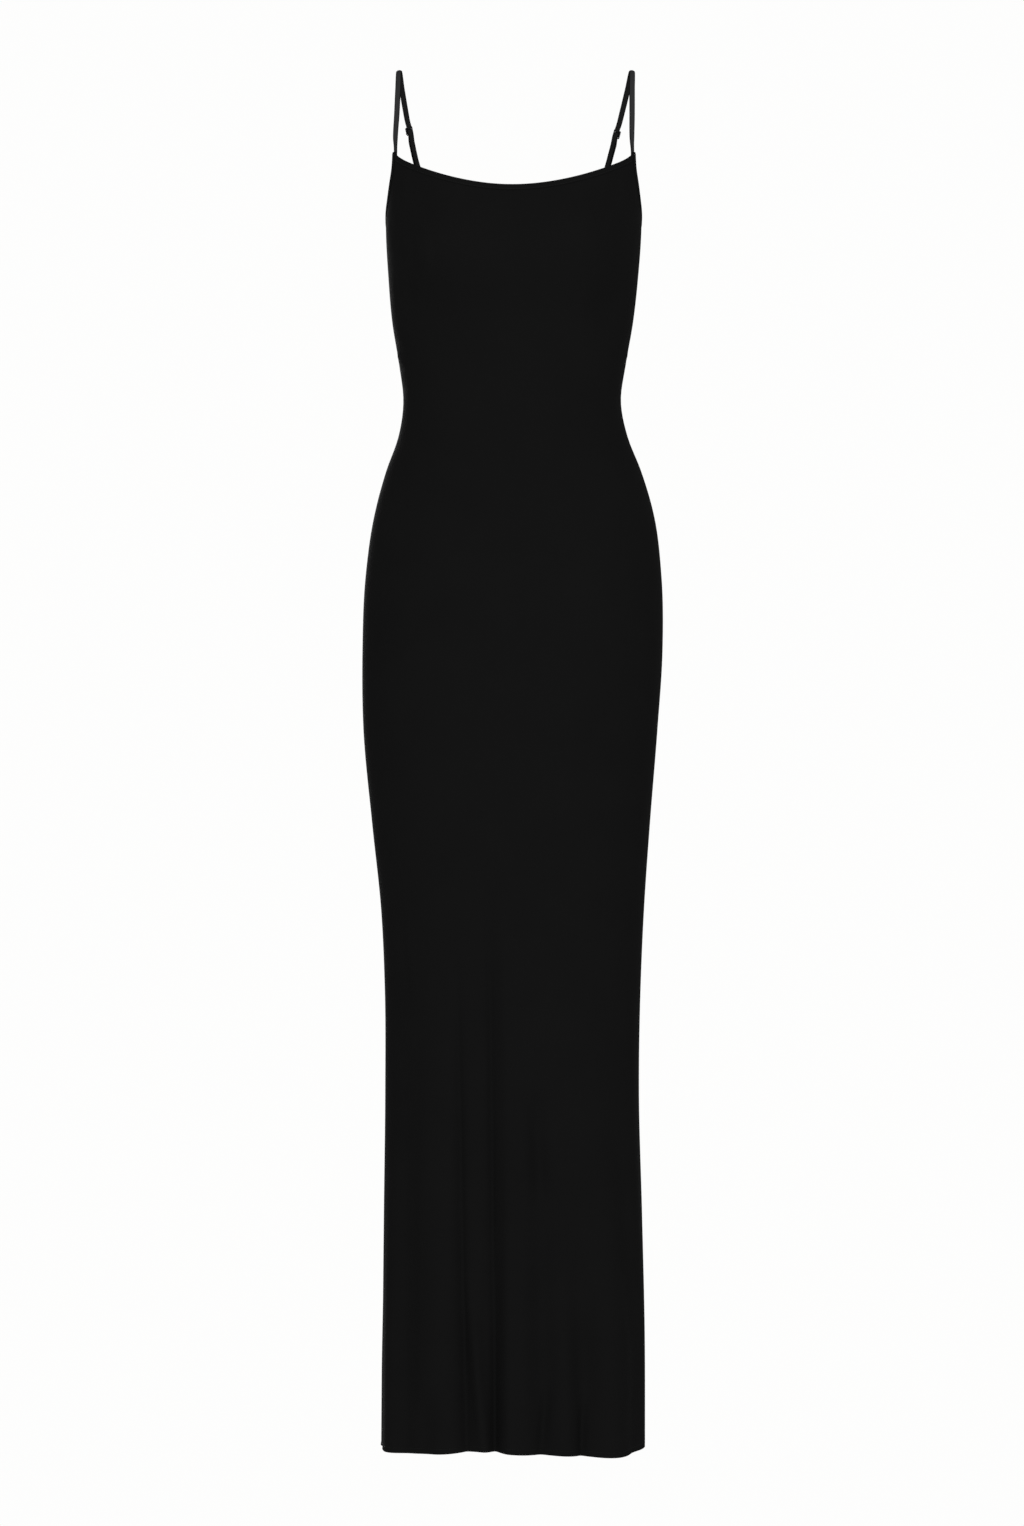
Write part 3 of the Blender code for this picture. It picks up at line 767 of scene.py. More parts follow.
@dataclass(frozen=True)
class Jersey:
    """Fine black single jersey, its wales up the piece, or across it on a strip cut crossways."""

    name: str
    crossways: bool = False
    wale: float = 0.00056
    course: float = 0.00044
    dark: tuple = (0.0050, 0.0050, 0.0051)
    light: tuple = (0.0066, 0.0066, 0.0065)
    roughness: tuple = (0.80, 0.92)
    sheen: float = 0.002
    specular: float = 0.01
    fuzz: float = 2200
    cloud: float = 16
    relief: tuple = (0.00008, 0.22)

    def make(self) -> Material:
        """Builds the material.

        Returns:
            The finish.
        """
        t = Tree(self.name)
        across, along = t.cloth_place()[:: -1 if self.crossways else 1]
        wale = t.sum("PINGPONG", t.sum("DIVIDE", across, self.wale), 0.5)
        turn = t.sum("ADD", t.sum("DIVIDE", along, self.course), wale)
        stitch = t.sum("SINE", t.sum("MULTIPLY", turn, 2 * math.pi))
        row = t.sum("MULTIPLY_ADD", stitch, 0.25, 0.75)
        loops = t.sum("MULTIPLY", row, t.sum("MULTIPLY", wale, 2.0))
        t.relief(t.sum("MULTIPLY_ADD", t.noise(self.fuzz, 2), 0.35, loops), *self.relief)
        cloud = t.noise(self.cloud, 4, rough=0.6)
        # Partly painted shade: the knit's loop pattern sets the colour, darker in the hollows
        # between loops where the relief is lowest, and the cloud is the yarn's random tone.
        shade = t.sum("MULTIPLY_ADD", loops, 0.35, t.sum("MULTIPLY", cloud, 0.75))
        t.surface(
            Base_Color=t.blend(shade, self.dark, self.light),
            Roughness=t.ranged(t.noise(40, 3), *self.roughness),
            Sheen_Weight=self.sheen,
            Sheen_Roughness=0.45,
            Specular_IOR_Level=self.specular,
        )
        return t.material


@dataclass(frozen=True)
class Elastic:
    """Narrow elastic whose satin outer face is painted lighter than its duller inner one, as
    painted sheen, and whose rounded edges are painted dark, as painted shade.
    """

    name: str = "strap_elastic"
    # Painted light: edge is painted shade on the rounded edges, and outer is painted lighter than
    # inner as the satin face's sheen.
    edge: tuple = (0.004, 0.004, 0.004)
    inner: tuple = (0.014, 0.014, 0.014)
    outer: tuple = (0.031, 0.031, 0.032)
    pick: float = 0.00035
    roughness: tuple = (0.5, 0.62)
    relief: tuple = (0.00006, 0.25)

    def make(self) -> Material:
        """Builds the material.

        Returns:
            The finish.
        """
        t = Tree(self.name)
        across, along = t.cloth_place()
        middle = FACE_APART / 2 * MM
        turned = t.sum("ABSOLUTE", t.sum("SUBTRACT", across, middle))
        off_middle = t.sum("ABSOLUTE", t.sum("SUBTRACT", turned, middle))
        near_edge = t.sum("DIVIDE", off_middle, ELASTIC_WIDTH / 2 * MM)
        # Painted shade and sheen: the colour falls to the edge colour over the rounded edges, and
        # the outer face is painted lighter than the inner one.
        face = t.eased(near_edge, 0.98, 0.62)
        inside = t.sum("GREATER_THAN", across, middle)
        picks = t.sum("SINE", t.sum("MULTIPLY", t.sum("DIVIDE", along, self.pick), 2 * math.pi))
        yarn = t.noise(900, 2)
        t.relief(t.sum("MULTIPLY_ADD", picks, 0.5, yarn), *self.relief)
        faces = t.blend(inside, self.outer, self.inner)
        colour = t.blend(face, self.edge, faces)
        t.surface(
            Base_Color=t.blend(t.ranged(yarn, 0.0, 0.3), colour, self.edge),
            Roughness=t.ranged(t.noise(300, 2), *self.roughness),
            Specular_IOR_Level=0.0,
        )
        return t.material


@dataclass(frozen=True)
class Thread:
    """Black polyester sewing thread, twisted from fine plies."""

    name: str = "sewing_thread"
    dark: tuple = (0.006, 0.006, 0.006)
    light: tuple = (0.014, 0.014, 0.014)
    roughness: tuple = (0.5, 0.68)
    relief: tuple = (0.00004, 0.3)

    def make(self) -> Material:
        """Builds the material.

        Returns:
            The finish.
        """
        t = Tree(self.name)
        twist = {"Vector": t.place(), "Scale": 1200.0, "Distortion": 1.5}
        plies = t.add("TexWave", twist, bands_direction="DIAGONAL").outputs["Fac"]
        t.relief(plies, *self.relief)
        t.surface(
            Base_Color=t.blend(plies, self.dark, self.light),
            Roughness=t.ranged(t.noise(900, 2), *self.roughness),
            Specular_IOR_Level=0.12,
        )
        return t.material


@dataclass(frozen=True)
class CoatedMetal:
    """Steel with a smooth black coating, its tone varying a little at random."""

    name: str = "black_coating"
    dark: tuple = (0.007, 0.007, 0.0075)
    light: tuple = (0.016, 0.016, 0.017)
    roughness: tuple = (0.24, 0.38)
    relief: tuple = (0.00002, 0.2)

    def make(self) -> Material:
        """Builds the material.

        Returns:
            The finish.
        """
        t = Tree(self.name)
        speckle = t.noise(2600, 3, rough=0.6)
        t.relief(speckle, *self.relief)
        t.surface(
            Base_Color=t.blend(t.noise(500, 3), self.dark, self.light),
            Roughness=t.ranged(speckle, *self.roughness),
            Specular_IOR_Level=0.5,
            Coat_Weight=0.35,
            Coat_Roughness=0.12,
        )
        return t.material


@dataclass(frozen=True)
class Finishes:
    """All the finishes of the dress, made once and shared."""

    jersey: Material
    binding: Material
    elastic: Material
    thread: Material
    coating: Material

    @classmethod
    def make(cls) -> "Finishes":
        """Makes every finish.

        Returns:
            The set of finishes.
        """
        return cls(
            Jersey("black_jersey").make(),
            Jersey("binding_jersey", crossways=True).make(),
            Elastic().make(),
            Thread().make(),
            CoatedMetal().make(),
        )


def only(piece: Object) -> Object:
    """Selects one object alone and makes it the active one.

    Args:
        piece: the object.

    Returns:
        The same object.
    """
    bpy.ops.object.select_all(action="DESELECT")
    piece.select_set(True)
    bpy.context.view_layer.objects.active = piece
    return piece


def settle(piece: Object) -> Object:
    """Applies all of a piece's modifiers in order.

    Args:
        piece: the object.

    Returns:
        The same object.
    """
    only(piece)
    for modifier in list(piece.modifiers):
        bpy.ops.object.modifier_apply(modifier=modifier.name)
    return piece


def primitive(name: str, add: Callable, **sizes: object) -> Object:
    """Adds a primitive with nothing else selected.

    Args:
        name: the piece's name.
        add: the operator that adds it.
        **sizes: the operator's settings.

    Returns:
        The new object.
    """
    bpy.ops.object.select_all(action="DESELECT")
    add(**sizes)
    piece = bpy.context.object
    piece.name = piece.data.name = name
    return piece


def pick(piece: Object, kind: str, wanted: Callable) -> None:
    """Selects the parts of a mesh that pass a test, and leaves edit mode on.

    Args:
        piece: the active object.
        kind: vertices, edges or polygons.
        wanted: the test.
    """
    bpy.ops.object.mode_set(mode="EDIT")
    bpy.ops.mesh.select_mode(type={"vertices": "VERT", "edges": "EDGE", "polygons": "FACE"}[kind])
    bpy.ops.mesh.select_all(action="DESELECT")
    bpy.ops.object.mode_set(mode="OBJECT")
    for part in getattr(piece.data, kind):
        part.select = bool(wanted(part))
    bpy.ops.object.mode_set(mode="EDIT")


def mesh_piece(
    name: str, points: Array, faces: list, material: Material, flat: Array | None = None
) -> Object:
    """Makes a smooth mesh object.

    Args:
        name: the piece's name.
        points: its points, in millimetres.
        faces: its faces, as indices into the points.
        material: its finish.
        flat: each point's place on the flat cloth, in millimetres.

    Returns:
        The object, in the scene.
    """
    mesh = bpy.data.meshes.new(name)
    mesh.from_pydata((np.asarray(points).reshape(-1, 3) * MM).tolist(), [], faces)
    mesh.materials.append(material)
    mesh.shade_smooth()
    if flat is not None:
        layer = mesh.uv_layers.new(name=CLOTH_MAP)
        corner = np.empty(len(mesh.loops), np.int32)
        mesh.loops.foreach_get("vertex_index", corner)
        places = flat.reshape(-1, 2)[corner] * MM
        layer.uv.foreach_set("vector", places.astype(np.float32).ravel())
    piece = bpy.data.objects.new(name, mesh)
    bpy.context.scene.collection.objects.link(piece)
    return piece


def grid_faces(columns: int, rows: int, closed: bool = False) -> list:
    """The four-sided faces of a grid of points, closed round its rows or open.

    Args:
        columns: how many columns of points.
        rows: how many points in a column.
        closed: True to join the last row to the first.

    Returns:
        The faces, as indices into the points.
    """
    index = np.arange(columns * rows).reshape(columns, rows)
    if closed:
        index = np.column_stack([index, index[:, 0]])
    corners = (index[:-1, :-1], index[1:, :-1], index[1:, 1:], index[:-1, 1:])
    return np.stack(corners, axis=-1).reshape(-1, 4).tolist()


def sheet_piece(name: str, points: Array, wall: float, material: Material) -> Object:
    """Makes a sheet of cloth from a grid of points, with its wall and a map of the flat cloth.

    Args:
        name: the sheet's name.
        points: the middle of the cloth, column by column, in millimetres.
        wall: its thickness.
        material: its finish.

    Returns:
        The sheet.
    """
    columns, rows = points.shape[:2]
    across = running_length(points)
    across = across - across[columns // 2]
    along = running_length(points.swapaxes(0, 1)).swapaxes(0, 1)
    flat = np.stack([across, along], axis=-1)
    piece = mesh_piece(name, points, grid_faces(columns, rows), material, flat)
    solid = piece.modifiers.new("wall", "SOLIDIFY")
    solid.thickness = wall * MM
    solid.offset = 0
    solid.use_even_offset = True
    return settle(piece)


def sewn_on(piece: Object, slot: str, *nodes: str) -> Object:
    """Lets a piece ride with the dress, and stands it for its solids.

    Args:
        piece: the object.
        slot: the record's material slot; not used.
        *nodes: the solids that it stands for.

    Returns:
        The same object.
    """
    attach(piece, BODY)
    if nodes:
        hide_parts(*nodes)
    LOG.info("%s: %d points", piece.name, len(piece.data.vertices))
    return piece


def seam_freedom(above: Array) -> Array:
    """How far a seam's turnings stand free of the cloth: almost 0 in the hem, 1 well above it."""
    return np.clip((above - SEAM_HELD) / SEAM_LOOSENS, SEAM_LEAST, 1)


@dataclass(frozen=True)
class Overlock:
    """The thread casing sewn over the raw edges of a side seam's turnings.

    Its edge rows are pairs: how far past its depth, and how far aside as a share of its half.
    """

    figure: Figure
    material: Material
    depth: float = 4.6
    reach: float = 3.2
    half: float = 0.97
    wall: float = 0.24
    loop: float = 1.7
    tuck: float = 3.0
    above_hem: float = 7.5
    lift: float = 0.62
    swell: float = 0.07
    edge_rows: tuple = ((0.42, 0.62), (0.56, 0.0), (0.42, -0.62))

    def build(self, side: Side) -> Object:
        """Makes the casing of one side seam, with a small swell at each loop of thread.

        Args:
            side: the side of the seam.

        Returns:
            The casing.
        """
        f = self.figure
        angle = side.value * 90.0
        top = float(f.armhole(f.underarm(self.tuck), self.tuck)[1])
        hem = float(f.hem(angle))
        heights = np.arange(hem + self.above_hem, top, self.loop / 2)
        free = seam_freedom(heights - hem)
        leg = np.linspace(-self.reach, 0, 4)
        rows = [*((d, 1) for d in leg), *self.edge_rows, *((d, -1) for d in leg[::-1])]
        past, share = np.array(rows).T
        swell = 1 + self.swell * (np.arange(len(heights)) % 2)
        out = -(self.lift + np.maximum(self.depth + past - self.lift, 0) * free[:, None])
        points = f.cloth(angle, heights[:, None], out)
        points[..., 1] = self.half * share * swell[:, None]
        return sheet_piece(f"seam_overlock_{side.word}", points, self.wall, self.material)


@dataclass(frozen=True)
class Panel:
    """The front or back of the dress, cut in one from neckline to hem, with its hem turned up."""

    half: Half
    figure: Figure
    material: Material
    wall: float = 0.8
    tuck: float = 1.7
    neck_columns: int = 140
    side_columns: int = 24
    row: float = 7.0
    lowest_level: float = -1414.0
    level: float = -205.0
    fan_rows: int = 20
    hem_gap: float = 0.55
    hem_depth: float = 6.4
    hem_line: float = 5.0
    hem_flare: float = 0.88
    hem_inside: tuple = (1.6, 6)
    hem_rows_above: tuple = (1.4, 2.4, 3.5, 4.3, 4.7, 5.0, 5.3, 5.7, 6.6, 8.5, 11.5, 16.0)
    pinch: tuple = (0.3, 0.42)
    trimmed: tuple = (12, 6)
    corner_spread: float = 0.09
    corner_draw: float = 2.4
    seam_turn: tuple = ((0.0, 1.3), (-0.25, 0.72), (-0.8, 0.43), (-2.6, 0.415), (-4.6, 0.415))

    def columns(self) -> tuple[Array, Array]:
        """The angle and the top height of each column, from one side seam to the other.

        Returns:
            The angles and the heights.
        """
        f = self.figure
        seam = f.underarm(self.tuck)
        if self.half is Half.FRONT:
            corner = f.corner(self.tuck, self.tuck)
            peak = float(f.armhole(corner, self.tuck)[0])
            neck = f.even_angles(-peak, peak, self.neck_columns)
            places = np.linspace(corner, seam, self.side_columns + 1)[1:]
            a, h = f.armhole(places, self.tuck)
            sides = (-a[::-1], a, h[::-1], h)
        else:
            half = f.even_angles(STRAP_ANGLE_BACK, 180, self.neck_columns // 2)
            neck = np.concatenate([half, 360 - half[-2::-1]])
            places = np.linspace(seam, f.armhole_end, self.side_columns + 1)[:-1]
            a, h = f.armhole(places, self.tuck)
            sides = (a, 360 - a[::-1], h, h[::-1])
        top = f.neck(neck) - f.neck_drop(neck, self.tuck)
        angles = np.concatenate([sides[0], neck, sides[1]])
        return angles, np.concatenate([sides[2], top, sides[3]])

    def hem_rows(self) -> tuple[Array, Array]:
        """The rows of the hem, from inside its turning to above its stitching.

        Returns:
            Heights above the hem, and distances out.
        """
        radius = self.hem_gap
        inside = np.linspace(self.hem_depth, *self.hem_inside)
        turn = np.radians(np.linspace(180, 0, 7))
        outside = np.array(self.hem_rows_above)
        depth, reach = self.pinch
        pinch = depth * np.exp(-(((outside - self.hem_line) / reach) ** 2))
        flares = (self.hem_flare * self.below_stitching(rows) for rows in (inside, outside))
        inner_flare, flare = flares
        above = np.concatenate([inside, radius - radius * np.sin(turn), outside])
        fold = self.hem_flare - radius + radius * np.cos(turn)
        out = np.concatenate([inner_flare - 2 * radius, fold, flare - pinch])
        return above, out

    def below_stitching(self, above: Array) -> Array:
        """How far below the hem's stitching a height lies: 1 at the hem, 0 at the stitching."""
        return np.clip((self.hem_line - above) / self.hem_line, 0, 1)

    def build(self) -> Object:
        """Makes the panel, with its turned seams and hem.

        Returns:
            The panel.
        """
        angles, tops = self.columns()
        hem = self.figure.hem(angles)
        above, out = self.hem_rows()
        levels = np.arange(self.lowest_level, self.level - self.row / 2, self.row)
        fan = np.linspace(0, 1, self.fan_rows + 1)
        heights = np.concatenate(
            [
                hem[:, None] + above,
                np.broadcast_to(levels, (len(angles), len(levels))),
                self.level + (tops[:, None] - self.level) * fan,
            ],
            axis=1,
        )
        outs = np.zeros(heights.shape)
        outs[:, : len(out)] = out
        near_seam = np.exp(-((np.cos(np.radians(angles)) / self.corner_spread) ** 2))
        drawn = self.below_stitching(above)
        drawn_in = self.hem_flare * drawn + self.corner_draw * drawn**2
        outs[:, : len(out)] -= near_seam[:, None] * drawn_in
        facing = -1 if self.half is Half.FRONT else 1
        widest = self.seam_turn[0][1]
        body = self.figure.cloth(angles[:, None], heights, outs)[1:-1]
        body[..., 1] = facing * np.maximum(facing * body[..., 1], widest)
        ends = []
        for last in (0, -1):
            free = seam_freedom(heights[last] - hem[last])
            turned = []
            for inward, aside in self.seam_turn:
                points = self.figure.cloth(angles[last], heights[last], outs[last] + inward * free)
                points[:, 1] = facing * aside
                turned.append(points)
            ends.append(np.array(turned))
        points = np.concatenate([ends[0][::-1], body, ends[1]])
        piece = sheet_piece(f"{self.half.value}_cloth", points, self.wall, self.material)
        for last in (0, -1):
            self.trim(piece, float(points[last, 0, 0]), float(hem[last]) - self.wall / 2)
        return piece

    def trim(self, piece: Object, across: float, lowest: float) -> None:
        """Draws the hem up to its own level where the side seam's turnings thicken it.

        Args:
            piece: the panel.
            across: the seam's distance to the side of the centre.
            lowest: the level to draw it up to.
        """
        reach, depth = self.trimmed
        for vertex in piece.data.vertices:
            x, y, z = vertex.co / MM
            if abs(y) < depth and abs(x - across) < reach and z < lowest:
                vertex.co.z = lowest * MM


@dataclass(frozen=True)
class Binding:
    """A strip of jersey folded over a raw edge and sewn down on both sides."""

    figure: Figure
    material: Material
    width: float = BINDING_WIDTH
    wall: float = 0.46
    spread: float = 0.68
    puff: float = 0.16
    stitch_line: float = 4.7
    dip: tuple = (0.20, 0.32)
    rows: tuple = (1.0, 1.9, 2.9, 3.8, 4.35, 4.7, 5.05, 5.5, 5.98)
    shut: tuple = (0.45, 0.75, 0.95)
    stations: int = 110

    def section(self) -> Array:
        """The folded strip's cut across: distances below the finished edge, and distances out.

        Returns:
            Pairs of (below, out), from the outer raw edge round the fold to the inner one.
        """
        below = np.array(self.rows)
        depth, reach = self.dip
        dip = depth * np.exp(-(((below - self.stitch_line) / reach) ** 2))
        puff = self.puff * np.sin(np.pi * np.clip(below / self.stitch_line, 0, 1))
        out = self.spread + puff - dip
        turn = np.radians(np.linspace(80, 0, 5))[:-1]
        fold = np.column_stack([self.spread * (1 - np.cos(turn)), self.spread * np.sin(turn)])
        outer = np.concatenate([np.column_stack([below, out])[::-1], fold])
        inner = outer[::-1] * (1, -1)
        return np.concatenate([outer, [(0, 0)], inner])

    def strip(self, name: str, place: Callable) -> tuple[Object, Callable]:
        """Makes a strip, with its fold pinched shut at both ends.

        Args:
            name: the strip's name.
            place: gives angles and heights, for shares from 0 to 1 along the strip and distances
                below its finished edge.

        Returns:
            The strip, and place.
        """
        section = self.section()
        ease = np.ones(self.stations)
        ease[: len(self.shut)] = ease[-len(self.shut) :][::-1] = self.shut
        below, out = np.broadcast_arrays(section[:, 0], ease[:, None] * section[:, 1])
        angle, height = place(np.linspace(0, 1, self.stations)[:, None], below)
        points = self.figure.cloth(angle, height, out)
        return sheet_piece(name, points, self.wall, self.material), place

    def neck_front(self) -> tuple[Object, Callable]:
        """The front neckline's binding, and the function that places points on it.

        Returns:
            The strip, and the function.
        """
        f = self.figure
        insets, side = np.linspace(0, self.width, 7), self.width + SEAM / 2
        peaks = [float(f.armhole(f.corner(side, w), side)[0]) for w in insets]

        def place(share: Array, below: Array) -> tuple[Array, Array]:
            """Angles and heights on the strip."""
            angle = np.interp(below, insets, peaks) * (2 * share - 1)
            return angle, f.neck(angle) - f.neck_drop(angle, below)

        return self.strip("front_neck_binding", place)

    def neck_back(self) -> tuple[Object, Callable]:
        """The back neckline's binding, and the function that places points on it.

        Returns:
            The strip, and the function.
        """
        f = self.figure
        first = STRAP_ANGLE_BACK + float(np.interp(SEAM, f.round_lengths, f.round_angles))

        def place(share: Array, below: Array) -> tuple[Array, Array]:
            """Angles and heights on the strip."""
            angle = first + (360 - 2 * first) * share + below * 0
            return angle, f.neck(angle) - f.neck_drop(angle, below)

        return self.strip("back_neck_binding", place)

    def armhole(self, side: Side) -> tuple[Object, Callable]:
        """An armhole's binding, and the function that places points on it.

        Args:
            side: the side of the armhole.

        Returns:
            The strip, and the function.
        """
        f = self.figure

        def place(share: Array, below: Array) -> tuple[Array, Array]:
            """Angles and heights on the strip."""
            angle, height = f.armhole(share * f.armhole_end + below * 0, below)
            return side.value * angle, height

        return self.strip(f"armhole_edge_{side.word}", place)


@dataclass(frozen=True)
class Stitching:
    """Rows of thread stitches, each a short slim bead sunk halfway in the cloth."""

    material: Material
    length: float = 2.3
    pitch: float = 2.9
    thick: float = 0.30
    tack: float = 1.7
    tack_pitch: float = 1.05
    blunt: float = 0.6

    def bead(self) -> tuple[Array, list]:
        """One stitch, modelled once: its points, a unit long and a unit thick, and its faces.

        Returns:
            The points and the faces.
        """
        add = bpy.ops.mesh.primitive_uv_sphere_add
        size = {"segments": 6, "ring_count": 4, "radius": 0.5, "calc_uvs": False}
        ball = primitive("stitch", add, rotation=(0, math.pi / 2, 0), **size)
        bpy.ops.object.transform_apply(location=True, rotation=True, scale=True)
        points = np.array([v.co for v in ball.data.vertices])
        points[:, 0] = np.sign(points[:, 0]) * np.abs(points[:, 0] * 2) ** self.blunt / 2
        rings = [list(face.vertices) for face in ball.data.polygons]
        bpy.data.objects.remove(ball)
        # Blender's own order of these faces can change from one run to the next.
        faces = sorted(r[r.index(min(r)) :] + r[: r.index(min(r))] for r in rings)
        return points, faces

    def row(self, name: str, line: Array, outward: Array, across: bool = False) -> Object:
        """Sews a row of stitches.

        Args:
            name: the row's name.
            line: points along the row, in millimetres.
            outward: the way out of the cloth at each point.
            across: True to lay each stitch across the row, close to the next, as in a bar tack.

        Returns:
            The row as one piece.
        """
        ball, ball_faces = self.bead()
        lengths = running_length(line)
        pitch = self.thick * self.tack_pitch if across else self.pitch
        count = max(1, int(lengths[-1] / pitch))
        middles = (np.arange(count) + 0.5) * lengths[-1] / count

        def read(rows: Array, shift: float = 0.0) -> Array:
            """A row's values at the stitches' middles, or a little past them."""
            columns = [np.interp(middles + shift, lengths, column) for column in rows.T]
            return np.column_stack(columns)

        along = unit(read(line, self.thick) - read(line, -self.thick))
        beside = unit(np.cross(read(outward), along))
        out = np.cross(along, beside)
        if across:
            along, beside = beside, -along
        points = read(line)[:, None]
        long = self.tack if across else self.length
        for i, (way, size) in enumerate(((along, long), (beside, self.thick), (out, self.thick))):
            points = points + way[:, None] * ball[None, :, i : i + 1] * size
        faces = [[i + k * len(ball) for i in face] for k in range(count) for face in ball_faces]
        return mesh_piece(name, points, faces, self.material)


class Frame(NamedTuple):
    """A place on a strap: its point, the way down it, its outer side, and the way across it."""

    point: Vector
    down: Vector
    out: Vector
    across: Vector

    def at(self, along: float, away: float, wide: float = 0.0) -> Vector:
        """A point beside this place."""
        return self.point + self.down * along + self.out * away + self.across * wide

    def matrix(self) -> Matrix:
        """Takes a flat piece, drawn in metres with X across and Y down, to this place."""
        turn = Matrix((self.across, self.down, self.out)).transposed()
        return Matrix.Translation(self.point * MM) @ turn.to_4x4()


def frame_of(point: Sequence, down: Sequence, out: Sequence) -> Frame:
    """A place from its point, the way down the strap and roughly its outer side.

    Args:
        point: the point.
        down: the way down the strap.
        out: its outer side, roughly.

    Returns:
        The place.
    """
    down = Vector(down).normalized()
    across = down.cross(Vector(out)).normalized()
    return Frame(Vector(point), down, across.cross(down), across)


def arc(centre: tuple, radius: float, start: float, stop: float, steps: int = 8) -> list:
    """Points (along, away) on an arc beside a strap: 0 degrees is outward, 90 down the strap."""
    turns = np.radians(np.linspace(start, stop, steps + 1))
    return [(centre[0] + radius * math.sin(a), centre[1] + radius * math.cos(a)) for a in turns]


class Strap:
    """A strap, from the front binding over the shoulder, through its slider and round its ring."""

    def __init__(self, side: Side, figure: Figure) -> None:
        """Lays the strap's way over the shoulder.

        Args:
            side: the wearer's side.
            figure: the form that the dress lies on.
        """
        self.side, self.figure = side, figure
        sign = side.value
        tuck = -(BINDING_WALL / 2 + TUCK_GAP + STRAP_WALL / 2)
        top, front = NECK_FRONT_TOP, sign * STRAP_ANGLE_FRONT
        keys = [figure.cloth(front, top - STRAP_TAIL * share, tuck) for share in (1, 0.5, 0)]
        keys += [(sign * getattr(p, side.word), p.y, p.z) for p in ROUTE]
        faces = [figure.outward(front, top)] * 3
        faces += [(sign * p.facing[0], *p.facing[1:]) for p in ROUTE]
        self.ring = self._ring_place(sign)
        keys += [self.ring.at(-6, 0), self.ring.at(-RING_BEND, 0)]
        faces += [self.ring.out] * 2
        self.keys, self.faces = (np.array([tuple(v) for v in rows]) for rows in (keys, faces))
        self.lengths = running_length(self.keys)
        self.top, self.end = float(self.lengths[SHOULDER_KEY]), float(self.lengths[-1])
        samples = np.linspace(self.top, self.end, SAMPLES)
        heights = smooth_curve(self.lengths, self.keys, samples)[:, 2]
        self.slider_at = float(np.interp(-SLIDER_HEIGHT[sign], -heights, samples))
        self.slider = self._bare(self.slider_at)

    def _ring_place(self, sign: int) -> Frame:
        """The frame of the ring's middle, above the back edge and in the plane of its tab.

        Args:
            sign: the sign of X on the strap's side.

        Returns:
            The frame.
        """
        angle = sign * STRAP_ANGLE_BACK
        tuck = -(BINDING_WALL / 2 + TUCK_GAP + STRAP_WALL + SEAM / 2)
        top = NECK_BACK_STRAP
        upper, lower = (Vector(self.figure.cloth(angle, h, tuck)) for h in (top, top - STRAP_TAIL))
        down = (lower - upper).normalized()
        return frame_of(upper - down * RING_ABOVE_EDGE, down, self.figure.outward(angle, top))

    def _bare(self, at: float) -> Frame:
        """The frame of the strap's way at a distance along it.

        Args:
            at: the distance along the strap.

        Returns:
            The frame.
        """
        places = (at, max(0.0, at - READ_STEP), min(self.end, at + READ_STEP))
        point, before, after = (smooth_curve(self.lengths, self.keys, p) for p in places)
        return frame_of(point, after - before, smooth_curve(self.lengths, self.faces, at))

    def spot(self, at: float, away: float, wide: float) -> Vector:
        """A point of the strap, which is straight through the slider and at the ring.

        Args:
            at: the distance along the strap.
            away: the distance out of its middle.
            wide: the distance across it.

        Returns:
            The point.
        """
        free = self._bare(min(at, self.end)).at(max(0.0, at - self.end), away, wide)
        near = (SLIDER_STRAIGHT - abs(at - self.slider_at)) / SLIDER_EASE
        if near > 0:
            free = free.lerp(self.slider.at(at - self.slider_at, away, wide), min(1.0, near))
        near = (at - self.end + RING_STRAIGHT) / RING_EASE
        if near > 0:
            free = free.lerp(self.ring.at(at - self.end - RING_BEND, away, wide), min(1.0, near))
        return free

    def path(self) -> list:
        """The strap's middle line as (along, away).

        Returns:
            The pairs, from the front end to the end sewn at the slider.
        """
        half_bar, plate = SLIDER_MIDDLE_BAR / 2, SLIDER_WALL / 2
        slot_end = half_bar + SLIDER_SLOT
        near = SEAM + STRAP_WALL / 2
        over = near + STRAP_WALL + SEAM
        behind, under = plate + near, -(plate + near + STRAP_WALL + SEAM)
        at = self.slider_at
        past_end = slot_end + SLIDER_END_BAR
        main = [(s, 0.0) for s in np.linspace(0, STRAP_TAIL, TAIL_ROWS)]
        even = np.linspace(STRAP_TAIL + TAIL_GAP, at - BEFORE_SLIDER, STRAP_ROWS)
        main += [(s, 0.0) for s in even]
        weave = [*LEAD_IN, (-past_end, -behind)]
        weave += arc((-slot_end, -plate), near, 180, 90)
        weave += arc((-half_bar, plate), over, 270, 360)
        weave += arc((half_bar, plate), over, 0, 90)
        weave += arc((slot_end, -plate), near, 270, 180)
        weave += [(past_end, -behind)]
        turn = RING_WIRE + near
        run = np.linspace(at + past_end + AFTER_SLIDER, self.end - BEFORE_RING, LOOP_ROWS)
        down = [(s, turn * LOOP_SPREAD) for s in run]
        down += arc((self.end, 0), turn, 0, 180, TURN_STEPS)
        down += [(s, -turn) for s in run[::-1]]
        back = [(past_end, under), (slot_end - SHORT_OF_END, under)]
        back += [(half_bar + PAST_BAR, -behind)]
        back += arc((-half_bar, -plate), near, 180, 270)
        back += arc((-half_bar, plate), near, 270, 360)
        back += [(half_bar, plate + near)]
        return [*main, *((at + a, n) for a, n in weave), *down, *((at + a, n) for a, n in back)]

